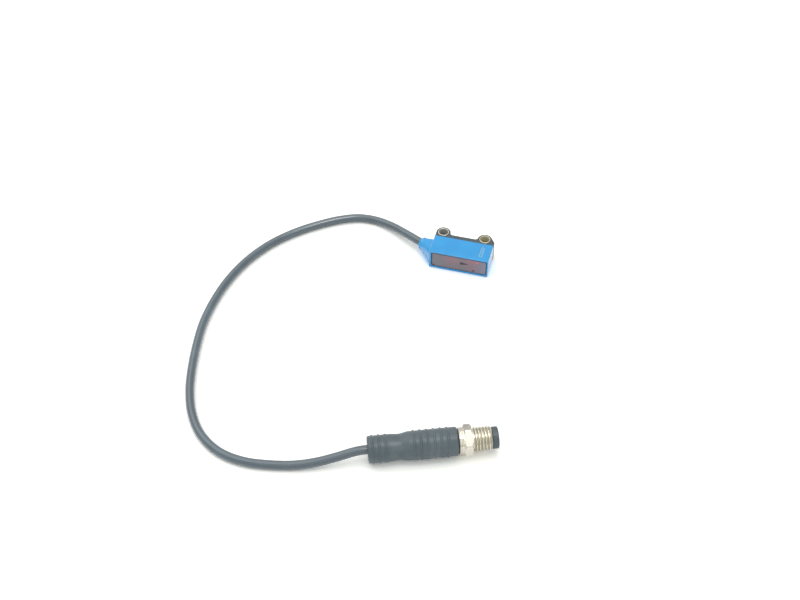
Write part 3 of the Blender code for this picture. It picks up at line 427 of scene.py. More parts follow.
@dataclass(frozen=True)
class TintedWindow(Finish):
    """Dark red acrylic, moulded and polished: clear to the emitter's light, dull mauve to the eye.

    The eye gets a smooth dark pane with a sheen. Its colour is partly its own dark red and partly
    painted reflection of the bright surroundings, with a painted glow and a painted glint over the
    parts behind it, and painted shade along its rim.
    """

    near_colour: str = "#808080"
    far_colour: str = "#808080"
    # The dark band colour along the pane's rim is painted shade, for the shadow in the recess's
    # seam
    seam_shade: str = "#3c434f"
    seam_shade_width: Point2 = (0.14, 0.34)
    corner: tuple[float, float, float] = (0.0, 0.0, 0.0)
    low: Point2 = (0.0, 0.0)
    high: Point2 = (1.0, 1.0)
    painted_glows: tuple[PaintedGlow, ...] = ()
    roughness: float = 0.16
    transmission: float = 0.12
    index: float = 1.49
    haze_size: float = 2.5
    haze_depth: float = 0.003

    def dress(self, tree: bpy.types.NodeTree, shader: bpy.types.Node) -> None:
        """Set the pane's colour with its painted glow and glint, its painted rim shade, and its
        polish.

        Args:
            tree: The material's tree.
            shader: The Principled BSDF.
        """
        place = add_node(tree, "ShaderNodeTexCoord").outputs["Object"]
        local = add_node(tree, "ShaderNodeVectorMath", {0: place, 1: self.corner},
                         operation="SUBTRACT").outputs[0]
        axes = add_node(tree, "ShaderNodeSeparateXYZ", {0: local}).outputs
        # Painted reflection: the pane's colour turns towards near_colour at the cable end and
        # far_colour at the far end
        middle = (self.low[0] + self.high[0]) / 2 * MM
        near_end, far_start = 0.7 * middle, 1.3 * middle
        near = self.span(tree, axes[0], (self.low[0] * MM, 1.0), (near_end, 0.0))
        far = self.span(tree, axes[0], (far_start, 0.0), (self.high[0] * MM, 1.0))
        colour = self.blend(tree, near, self.colour, self.near_colour)
        colour = self.blend(tree, far, colour, self.far_colour)
        # Painted glow and glint: soft red places over the parts behind the pane
        for glow in self.painted_glows:
            steps = (("x", "SUBTRACT", "along", glow.middle[0] * MM),
                     ("u", "DIVIDE", "x", glow.reach[0] * MM),
                     ("z", "SUBTRACT", "up", glow.middle[1] * MM),
                     ("v", "DIVIDE", "z", glow.reach[1] * MM),
                     ("uu", "MULTIPLY", "u", "u"),
                     ("sum", "MULTIPLY_ADD", "v", "v", "uu"),
                     ("away", "SQRT", "sum"))
            away = work_out(tree, {"along": axes[0], "up": axes[2]}, steps)["away"]
            share = self.span(tree, away, (glow.core, glow.share), (1.0, 0.0))
            colour = self.blend(tree, share, colour, glow.colour)
        steps = (("left", "SUBTRACT", "along", self.low[0] * MM),
                 ("right", "SUBTRACT", self.high[0] * MM, "along"),
                 ("under", "SUBTRACT", "up", self.low[1] * MM),
                 ("over", "SUBTRACT", self.high[1] * MM, "up"),
                 ("side", "MINIMUM", "left", "right"), ("level", "MINIMUM", "under", "over"),
                 ("inset", "MINIMUM", "side", "level"))
        inset = work_out(tree, {"along": axes[0], "up": axes[2]}, steps)["inset"]
        # Painted shade: a dark band along the pane's rim, for the shadow in the recess's seam
        rim = self.span(tree, inset, (self.seam_shade_width[0] * MM, 1.0),
                        (self.seam_shade_width[1] * MM, 0.0))
        colour = self.blend(tree, rim, colour, self.seam_shade)
        haze = self.noise(tree, self.haze_size, 3.0)
        tree.links.new(colour, shader.inputs["Base Color"])
        self.sheen(tree, shader, haze, self.roughness - 0.05, self.roughness + 0.08)
        shader.inputs["Transmission Weight"].default_value = self.transmission
        shader.inputs["IOR"].default_value = self.index
        self.relief(tree, shader, haze, self.haze_depth)


@dataclass(frozen=True)
class MilkyGuide(Finish):
    """Milky polycarbonate light guide, moulded: a painted highlight at its rim, tinted by what
    lies under it.

    The mesh attribute "inset" holds how far a place is from the rim, in millimetres.
    """

    # The rim colour is a painted highlight along the guide's rim
    rim: str = "#9fd0f4"
    front_colour: str = "#6fb4d8"
    rim_highlight_width: float = 0.25
    front_place: float = 0.0
    blend_length: float = 1.5
    roughness: float = 0.25
    depth_share: float = 0.15
    depth_reach: tuple[float, float, float] = (0.4, 0.5, 0.6)
    haze_size: float = 0.5
    haze_depth: float = 0.004

    def dress(self, tree: bpy.types.NodeTree, shader: bpy.types.Node) -> None:
        """Set the painted rim highlight, the tint along the guide and the polish.

        Args:
            tree: The material's tree.
            shader: The Principled BSDF.
        """
        place = add_node(tree, "ShaderNodeTexCoord").outputs["Object"]
        depth = add_node(tree, "ShaderNodeSeparateXYZ", {0: place}).outputs[1]
        front = self.span(tree, depth, (self.front_place - self.blend_length * MM, 1.0),
                          (self.front_place, 0.0))
        body = self.blend(tree, front, self.colour, self.front_colour)
        inset = add_node(tree, "ShaderNodeAttribute", attribute_name="inset").outputs["Fac"]
        # Painted highlight: the rim is paler than the body
        edge_highlight = self.span(tree, inset, (0.4 * self.rim_highlight_width, 1.0), (self.rim_highlight_width, 0.0))
        tree.links.new(self.blend(tree, edge_highlight, body, self.rim), shader.inputs["Base Color"])
        haze = self.noise(tree, self.haze_size, 2.0)
        self.sheen(tree, shader, haze, self.roughness - 0.05, self.roughness + 0.1)
        shader.inputs["Subsurface Weight"].default_value = self.depth_share
        shader.inputs["Subsurface Radius"].default_value = [d * MM for d in self.depth_reach]
        self.relief(tree, shader, haze, self.haze_depth)


@dataclass(frozen=True)
class ClearPlastic(Finish):
    """Clear optical plastic, moulded and polished: a lens with the faintest haze."""

    roughness: float = 0.03
    index: float = 1.585
    haze_size: float = 1.0

    def dress(self, tree: bpy.types.NodeTree, shader: bpy.types.Node) -> None:
        """Set the clear body and its polish.

        Args:
            tree: The material's tree.
            shader: The Principled BSDF.
        """
        haze = self.noise(tree, self.haze_size, 2.0)
        shader.inputs["Base Color"].default_value = linear(self.colour)
        self.sheen(tree, shader, haze, self.roughness, 2.0 * self.roughness)
        shader.inputs["Transmission Weight"].default_value = 1.0
        shader.inputs["IOR"].default_value = self.index


# Meshes


def arc(centre: Point2, radius: float, start: float, end: float, steps: int) -> Outline:
    """Return the points of an arc, both ends included.

    Args:
        centre: Its middle.
        radius: Its radius.
        start: Angle of its first point, in radians.
        end: Angle of its last point.
        steps: How many chords it has.

    Returns:
        The points in order.
    """
    angles = [start + (end - start) * k / steps for k in range(steps + 1)]
    return [(centre[0] + radius * cos(a), centre[1] + radius * sin(a)) for a in angles]


def rounded_rectangle(low: Point2, high: Point2, radius: float, steps: int = 8) -> Outline:
    """Return the outline of a rectangle with round corners, anticlockwise.

    Args:
        low: Its lowest corner.
        high: Its highest corner.
        radius: Radius of its corners.
        steps: Chords in each corner.

    Returns:
        The outline from its right side on.
    """
    corners = (((high[0] - radius, high[1] - radius), 0.0),
               ((low[0] + radius, high[1] - radius), 0.5 * pi),
               ((low[0] + radius, low[1] + radius), pi),
               ((high[0] - radius, low[1] + radius), 1.5 * pi))
    outline: Outline = []
    for centre, start in corners:
        outline += arc(centre, radius, start, start + 0.5 * pi, steps)
    return outline


def shrunk(outline: Outline, inset: float) -> Outline:
    """Return an anticlockwise outline moved inwards, with mitred corners.

    Args:
        outline: The closed outline.
        inset: How far it moves in; a negative value moves it out.

    Returns:
        As many points as the outline has.
    """
    moved = []
    count = len(outline)
    for k, (x, y) in enumerate(outline):
        before, after = Vector(outline[k - 1]), Vector(outline[(k + 1) % count])
        here = Vector((x, y))
        first, second = (here - before).normalized(), (after - here).normalized()
        inward = Vector((-first.y - second.y, first.x + second.x)).normalized()
        side = Vector((-first.y, first.x))
        moved.append(tuple(here + inward * inset / max(inward.dot(side), 0.35)))
    return moved


def quarter(radius: float, steps: int = 4) -> list[Point2]:
    """Return (rise, inset) pairs of a quarter round, from the wall to the face.

    Args:
        radius: Its radius.
        steps: Its chords.

    Returns:
        The pairs, with the rise measured back from the face.
    """
    turns = [0.5 * pi * k / steps for k in range(steps + 1)]
    return [(radius * (1.0 - sin(t)), radius * (1.0 - cos(t))) for t in turns]


def loft(name: str, rings: Sequence[Sequence[Sequence[float]]],
         around: bool = False) -> bpy.types.Mesh:
    """Skin rings of as many points each into a closed mesh in millimetres.

    Args:
        name: The mesh's name.
        rings: The rings in order; with ends, the first and last are capped.
        around: Whether the last ring joins the first, as on a ring.

    Returns:
        The mesh, its faces outwards.
    """
    count = len(rings[0])
    points = [tuple(point) for ring in rings for point in ring]
    faces = []
    last = len(rings) if around else len(rings) - 1
    for row in range(last):
        here, there = row * count, (row + 1) % len(rings) * count
        for k in range(count):
            after = (k + 1) % count
            faces.append((here + k, here + after, there + after, there + k))
    if not around:
        faces.append(tuple(range(count)))
        faces.append(tuple(range((len(rings) - 1) * count, len(rings) * count)))
    mesh = bpy.data.meshes.new(name)
    mesh.from_pydata(points, [], faces)
    clean(mesh)
    return mesh


def clean(mesh: bpy.types.Mesh, distance: float = 1e-4) -> None:
    """Merge points that coincide, drop faces without area and turn the faces outwards.

    Args:
        mesh: The mesh, changed in place.
        distance: Points nearer than this many millimetres become one.
    """
    bm = bmesh.new()
    bm.from_mesh(mesh)
    bmesh.ops.remove_doubles(bm, verts=bm.verts, dist=distance)
    bmesh.ops.dissolve_degenerate(bm, edges=bm.edges, dist=distance)
    bmesh.ops.recalc_face_normals(bm, faces=bm.faces)
    bm.to_mesh(mesh)
    bm.free()


def refined(profile: Sequence[Point2], pitch: float, start: float, end: float) -> list[Point2]:
    """Return a profile with its stretches inside a range of X cut into short ones.

    Args:
        profile: Points of distance along X and radius.
        pitch: Longest stretch inside the range.
        start: Where the range starts along X.
        end: Where the range ends.

    Returns:
        The finer profile.
    """
    fine = [profile[0]]
    for first, last in zip(profile, profile[1:]):
        inside = min(first[0], last[0]) < end and max(first[0], last[0]) > start
        stretch = hypot(last[0] - first[0], last[1] - first[1])
        pieces = max(1, ceil(stretch / pitch)) if inside else 1
        for k in range(1, pieces + 1):
            fine.append((first[0] + (last[0] - first[0]) * k / pieces,
                         first[1] + (last[1] - first[1]) * k / pieces))
    return fine


def turned(name: str, profile: Sequence[Point2], angles: Sequence[float],
           around: bool = False) -> bpy.types.Mesh:
    """Turn a profile round the X axis.

    Args:
        name: The mesh's name.
        profile: Points of distance along X and radius; a radius of 0 closes to a pole.
        angles: Angles of the columns, in order.
        around: Whether the profile closes on itself, as on a ring.

    Returns:
        The mesh in millimetres.
    """
    rings = [[(x, r * cos(a), r * sin(a)) for a in angles] for x, r in profile]
    return loft(name, rings, around)


def even_angles(count: int, start: float = 0.0) -> list[float]:
    """Return evenly spaced angles round a circle."""
    return [start + tau * k / count for k in range(count)]


def scratch(mesh: bpy.types.Mesh) -> bpy.types.Object:
    """Link a mesh as a working object, which solid() later removes.

    Args:
        mesh: The mesh in millimetres.

    Returns:
        The working object.
    """
    obj = bpy.data.objects.new(mesh.name, mesh)
    bpy.context.scene.collection.objects.link(obj)
    return obj


def carve(obj: bpy.types.Object, tool: bpy.types.Mesh, cut: Cut = Cut.REMOVE) -> None:
    """Add a Boolean with a tool to a working object.

    Args:
        obj: The working object.
        tool: The tool's mesh, in the same frame.
        cut: Whether the tool is taken away or joined on.
    """
    modifier = obj.modifiers.new(tool.name, "BOOLEAN")
    modifier.operation = cut.value
    modifier.solver = "EXACT"
    modifier.object = scratch(tool)


def applied(obj: bpy.types.Object) -> bpy.types.Mesh:
    """Return a new mesh of a working object with its modifiers applied.

    Args:
        obj: The working object.

    Returns:
        The mesh, with its attributes.
    """
    graph = bpy.context.evaluated_depsgraph_get()
    return bpy.data.meshes.new_from_object(obj.evaluated_get(graph), depsgraph=graph,
                                           preserve_all_data_layers=True)


def solid(obj: bpy.types.Object, angle: float = 32.0, weighted: bool = False) -> bpy.types.Mesh:
    """Turn a working object into a plain, smoothly shaded mesh and remove it and its tools.

    Args:
        obj: The working object with its modifiers.
        angle: Edges that turn by more than this many degrees stay sharp.
        weighted: Whether large faces rule the normals, as beside a rounded edge.

    Returns:
        The mesh, still in millimetres.
    """
    tools = [m.object for m in obj.modifiers if m.type == "BOOLEAN"]
    mesh = applied(obj)
    for used in [obj, *tools]:
        bpy.data.objects.remove(used, do_unlink=True)
    if weighted:
        clean(mesh)
    mesh.shade_smooth()
    mesh.set_sharp_from_angle(angle=radians(angle))
    if weighted:
        obj = scratch(mesh)
        modifier = obj.modifiers.new("normals", "WEIGHTED_NORMAL")
        modifier.keep_sharp = True
        mesh = applied(obj)
        bpy.data.objects.remove(obj, do_unlink=True)
    return mesh


def add_piece(name: str, mesh: bpy.types.Mesh, place: Matrix, finish: Finish,
              stands_for: Sequence[str] = (), body: Body = Body.SENSOR) -> bpy.types.Object:
    """Put a finished mesh in the part frame and let it ride on its body.

    Args:
        name: The piece's name.
        mesh: The mesh in millimetres, in its own frame.
        place: Matrix from that frame to the part frame, in metres.
        finish: What it is made of.
        stands_for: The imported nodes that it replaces.
        body: The body that it rides on.

    Returns:
        The piece.
    """
    mesh.transform(place)
    mesh.name = name
    mesh.materials.clear()
    mesh.materials.append(finish.material())
    obj = bpy.data.objects.new(name, mesh)
    bpy.context.scene.collection.objects.link(obj)
    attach(obj, body.value)
    if stands_for:
        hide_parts(*stands_for)
    LOG.info("%s: %d faces, on %s", name, len(mesh.polygons), body.value)
    return obj


# Geometry Nodes


def start_tree(
        name: str, sizes: dict[str, str]) -> tuple[bpy.types.NodeTree, Sequence]:
    """Start a Geometry Nodes tree whose inputs are a geometry, its sizes and a material.

    Args:
        name: The tree's name.
        sizes: The kind of each size's socket, "Float" or "Int", by the input's name.

    Returns:
        The tree and its input sockets, by name.
    """
    tree = bpy.data.node_groups.new(name, "GeometryNodeTree")
    for socket, kind in {"Geometry": "Geometry", **sizes, "Material": "Material"}.items():
        tree.interface.new_socket(socket, in_out="INPUT", socket_type=f"NodeSocket{kind}")
    tree.interface.new_socket("Geometry", in_out="OUTPUT", socket_type="NodeSocketGeometry")
    return tree, add_node(tree, "NodeGroupInput").outputs


class ShapingTree:
    """Geometry Nodes tree that changes the radius of a blank turned round the X axis by a rule.

    The rule knows "along", "radius" and "angle" of each point, and the tree's named sizes. Its
    last step, "wanted", is the new radius. Points nearer the axis than the size "Bore" stay. The
    depth of each cut, times the input "Stain", is added up in the attribute "sunk".
    """

    def __init__(self, name: str, sizes: Sequence[str], rule: Sequence[Step]) -> None:
        """Build the tree.

        Args:
            name: The tree's name.
            sizes: Names of its number inputs.
            rule: Steps of the formula, as work_out takes them.
        """
        sizes = (*sizes, "Bore", "Stain")
        self.tree, given = start_tree(name, {size: "Float" for size in sizes})
        point = add_node(self.tree, "GeometryNodeInputPosition").outputs[0]
        axes = add_node(self.tree, "ShaderNodeSeparateXYZ", {0: point}).outputs
        across = add_node(self.tree, "ShaderNodeCombineXYZ", {1: axes[1], 2: axes[2]}).outputs[0]
        radius = add_node(self.tree, "ShaderNodeVectorMath", {0: across},
                          operation="LENGTH").outputs["Value"]
        earlier = add_node(self.tree, "GeometryNodeInputNamedAttribute", {"Name": "sunk"},
                           data_type="FLOAT").outputs[0]
        known: Values = {size: given[size] for size in sizes}
        known |= {"along": axes[0], "y": axes[1], "z": axes[2], "radius": radius,
                  "earlier": earlier}
        known = work_out(self.tree, known, (("angle", "ARCTAN2", "z", "y"), *rule))
        done = work_out(self.tree, known, (("outside", "GREATER_THAN", "radius", "Bore"),
                                           ("change", "SUBTRACT", "wanted", "radius"),
                                           ("kept", "MULTIPLY", "change", "outside"),
                                           ("final", "ADD", "radius", "kept"),
                                           ("scale", "DIVIDE", "final", "radius"),
                                           ("new y", "MULTIPLY", "y", "scale"),
                                           ("new z", "MULTIPLY", "z", "scale"),
                                           ("marked", "MULTIPLY", "kept", "Stain"),
                                           ("depth", "SUBTRACT", "earlier", "marked"),
                                           ("sunk", "MAXIMUM", "depth", 0.0)))
        stored = add_node(self.tree, "GeometryNodeStoreNamedAttribute",
                          {"Geometry": given["Geometry"], "Name": "sunk", "Value": done["sunk"]},
                          data_type="FLOAT", domain="POINT").outputs[0]
        target = add_node(self.tree, "ShaderNodeCombineXYZ",
                          {0: axes[0], 1: done["new y"], 2: done["new z"]}).outputs[0]
        shaped = add_node(self.tree, "GeometryNodeSetPosition",
                          {"Geometry": stored, "Position": target}).outputs[0]
        finish_tree(self.tree, shaped, given["Material"])


def finish_tree(tree: bpy.types.NodeTree, geometry: bpy.types.NodeSocket,
                material: bpy.types.NodeSocket) -> None:
    """End a tree in Realize Instances and Set Material.

    Args:
        tree: The Geometry Nodes tree.
        geometry: What it made.
        material: The socket with its material.
    """
    real = add_node(tree, "GeometryNodeRealizeInstances", {0: geometry}).outputs[0]
    dressed = add_node(tree, "GeometryNodeSetMaterial",
                       {"Geometry": real, "Material": material}).outputs[0]
    add_node(tree, "NodeGroupOutput", {0: dressed})


def run_tree(obj: bpy.types.Object, tree: bpy.types.NodeTree, values: dict[str, object]) -> None:
    """Add a tree to a working object and set its inputs by their identifiers.

    Args:
        obj: The working object.
        tree: The Geometry Nodes tree.
        values: The inputs by name.
    """
    modifier = obj.modifiers.new(tree.name, "NODES")
    modifier.node_group = tree
    for item in tree.interface.items_tree:
        if item.in_out == "INPUT" and item.name in values:
            modifier[item.identifier] = values[item.name]


def ribs_tree() -> bpy.types.NodeTree:
    """Return the tree that raises a row of ribs, or sinks grooves where the height is negative."""
    return ShapingTree("row_of_ribs", ("First", "Pitch", "Count", "Width", "Height", "Blend"), (
        ("advance", "SUBTRACT", "along", "First"),
        ("steps", "DIVIDE", "advance", "Pitch"),
        ("nearest", "ROUND", "steps"),
        ("last", "SUBTRACT", "Count", 1.0),
        ("capped", "MINIMUM", "nearest", "last"),
        ("number", "MAXIMUM", "capped", 0.0),
        ("centre", "MULTIPLY", "number", "Pitch"),
        ("gap", "SUBTRACT", "advance", "centre"),
        ("off", "ABSOLUTE", "gap"),
        ("half", "MULTIPLY", "Width", 0.5),
        ("inside", "SUBTRACT", "half", "off"),
        ("climb", "DIVIDE", "inside", "Blend"),
        ("held", "MINIMUM", "climb", 1.0),
        ("share", "MAXIMUM", "held", 0.0),
        ("square", "MULTIPLY", "share", "share"),
        ("ease", "MULTIPLY_ADD", "share", -2.0, 3.0),
        ("bump", "MULTIPLY", "square", "ease"),
        ("wanted", "MULTIPLY_ADD", "bump", "Height", "radius"),
    )).tree


def hexagon_tree() -> bpy.types.NodeTree:
    """Return the tree that mills six flats across a stretch of the blank."""
    return ShapingTree("hexagon_flats", ("Start", "End", "Flats", "Turn"), (
        ("turned", "SUBTRACT", "angle", "Turn"),
        ("side", "FLOORED_MODULO", "turned", pi / 3),
        ("lean", "SUBTRACT", "side", pi / 6),
        ("share", "COSINE", "lean"),
        ("half", "MULTIPLY", "Flats", 0.5),
        ("flat", "DIVIDE", "half", "share"),
        ("milled", "MINIMUM", "radius", "flat"),
        ("after", "GREATER_THAN", "along", "Start"),
        ("before", "LESS_THAN", "along", "End"),
        ("zone", "MULTIPLY", "after", "before"),
        ("less", "SUBTRACT", "milled", "radius"),
        ("wanted", "MULTIPLY_ADD", "less", "zone", "radius"),
    )).tree


def thread_tree() -> bpy.types.NodeTree:
    """Return the tree that cuts a right-handed metric thread from a start to the tip.

    Returns:
        The tree, with the inputs Start, Pitch, Crest and Depth.
    """
    slope, crest_flat = 3.0, 0.1
    return ShapingTree("metric_thread", ("Start", "Pitch", "Crest", "Depth"), (
        ("turns", "DIVIDE", "angle", tau),
        ("advance", "DIVIDE", "along", "Pitch"),
        ("phase", "SUBTRACT", "advance", "turns"),
        ("share", "FRACT", "phase"),
        ("middle", "SUBTRACT", "share", 0.5),
        ("off", "ABSOLUTE", "middle"),
        ("flank", "MULTIPLY_ADD", "off", slope, -slope * crest_flat),
        ("held", "MINIMUM", "flank", 1.0),
        ("sink", "MAXIMUM", "held", 0.0),
        ("cut", "MULTIPLY", "sink", "Depth"),
        ("thread", "SUBTRACT", "Crest", "cut"),
        ("lower", "MINIMUM", "radius", "thread"),
        ("after", "GREATER_THAN", "along", "Start"),
        ("less", "SUBTRACT", "lower", "radius"),
        ("wanted", "MULTIPLY_ADD", "less", "after", "radius"),
    )).tree


def circle_tree() -> bpy.types.NodeTree:
    """Return the tree that sets copies of a piece evenly on a circle round the X axis.

    Returns:
        The tree, with the inputs Count, Radius and Turn.
    """
    sizes = {"Count": "Int", "Radius": "Float", "Turn": "Float"}
    tree, given = start_tree("copies_on_a_circle", sizes)
    index = add_node(tree, "GeometryNodeInputIndex").outputs[0]
    known = {"index": index} | {size: given[size] for size in sizes}
    values = work_out(tree, known, (("share", "DIVIDE", "index", "Count"),
                                    ("angle", "MULTIPLY_ADD", "share", tau, "Turn"),
                                    ("cosine", "COSINE", "angle"),
                                    ("sine", "SINE", "angle"),
                                    ("y", "MULTIPLY", "cosine", "Radius"),
                                    ("z", "MULTIPLY", "sine", "Radius")))
    place = add_node(tree, "ShaderNodeCombineXYZ", {1: values["y"], 2: values["z"]}).outputs[0]
    points = add_node(tree, "GeometryNodePoints",
                      {"Count": given["Count"], "Position": place}).outputs[0]
    copies = add_node(tree, "GeometryNodeInstanceOnPoints",
                      {"Points": points, "Instance": given["Geometry"]}).outputs[0]
    finish_tree(tree, copies, given["Material"])
    return tree


# Finishes of this object

SHELL_BLUE = MouldedPlastic(
    # PBT, moulded in a spark-eroded mould: the real grain is 0.05 mm and drawn at 0.2 mm to show
    "blue_pbt_moulded", "#0c9fe6", cloud="#22aef0", cloud_size=6.0, cloud_share=0.5,
    # The paler edge colour is a painted highlight along the rounded edges
    edge_highlight="#9cc4de", highlight_width=0.32, highlight_share=0.6, roughness=0.22, grain=0.2,
    grain_depth=0.002, specular=0.25, coat=1.0, coat_roughness=0.06)
COVER_BLACK = MouldedPlastic(
    # PBT filled black: finer grain, with a paler painted highlight along the edges
    "black_pbt_moulded", "#3a474d", cloud="#4f5e64", cloud_size=4.0, cloud_share=0.6,
    edge_highlight="#79858b", highlight_share=0.4, roughness=0.42, grain=0.18, grain_depth=0.006,
    coat=0.25, coat_roughness=0.2)
MARK_BLACK = MouldedPlastic(
    "black_mark_moulded", "#3f353b", cloud="#352c31", roughness=0.6, grain_depth=0.003)
PLUG_BLACK = MouldedPlastic(
    # Polyurethane moulded over the cable's end: soft sheen, slightly greyed by handling
    "black_pur_overmoulded", "#515e64", cloud="#68767b", cloud_size=5.0, cloud_share=0.7,
    roughness=0.38, grain=0.25, grain_depth=0.016)
CARRIER_BLACK = MouldedPlastic(
    "black_polyamide_moulded", "#4a565b", cloud="#59666c", cloud_size=2.0, roughness=0.4,
    grain=0.2, grain_depth=0.006)
JACKET_GREY = ExtrudedJacket(
    "black_pvc_extruded", "#3d515b", bloom="#5a737e")
NICKEL_SCREW_LOOK = {"colour": "#dedace", "patch": "#d0ccbd", "stain": "#c2beaa"}
BUSHING_LOOKS = {
    # The two bushings are one metal: the cable-side bore is darker and greyer, painted shade, and
    # the other shows the olive tint of the brass
    "cable_side_bushing": {"colour": "#bcb9ae", "patch": "#aba89d", "stain": "#b8b8b8"},
    "far_side_bushing": {"colour": "#beb9a2", "patch": "#aca78e", "stain": "#d4cfb0"},
}
# The guide's rim colour is a painted highlight
GUIDE_COLOURS = {"colour": "#5fb0e6", "rim": "#84c9f0", "front_colour": "#56a9d2"}
# The pane's colours are partly its own dark red and partly painted reflection of the bright
# surroundings
WINDOW_COLOURS = {"colour": "#938890", "near_colour": "#8b8993", "far_colour": "#9498b0"}
CORE_COLOURS = {"brown": "#6b3f22", "white": "#e6e6e2", "blue": "#2450b0", "black": "#1d1d1f"}

# Marks in the window, and the painted glow and glint on the pane, along X and Z of the head frame
ARROW = [(11.6, 5.25), (11.6, 3.95), (14.9, 4.7)]
# Two small dark spots moulded into the pane, near its lower edge
DARK_SPOTS = {
    "pane_dark_spot_cable_end": ((1.75, 1.6), (0.34, 0.34)),
    "pane_dark_spot_far_end": ((16.6, 2.05), (0.5, 0.34)),
}
# The painted glow and glint, over the parts behind the pane
WINDOW_PAINTED_GLOWS = (
    PaintedGlow((9.0, 5.6), (4.6, 2.4), "#b8838f", 0.5),
    PaintedGlow((9.2, 6.45), (1.1, 0.5), "#b98a72", 0.5),
    PaintedGlow((16.4, 4.2), (4.2, 3.4), "#a8848e", 0.55),
    PaintedGlow((15.4, 6.3), (2.6, 1.0), "#cf7a84", 0.6),
    # A painted red glint over the emitter's lens
    PaintedGlow((17.8, 6.25), (0.95, 0.5), "#ff7a78", 0.95, 0.35),
)


def plain(name: str, colour: str, roughness: float = 0.45) -> MouldedPlastic:
    """Return the finish of a small inner piece, with a fine grain of its own.

    Args:
        name: The finish's name.
        colour: Its hex colour.
        roughness: How dull it is.

    Returns:
        The finish.
    """
    return MouldedPlastic(name, colour, cloud=colour, roughness=roughness, grain=0.12,
                          grain_depth=0.003)


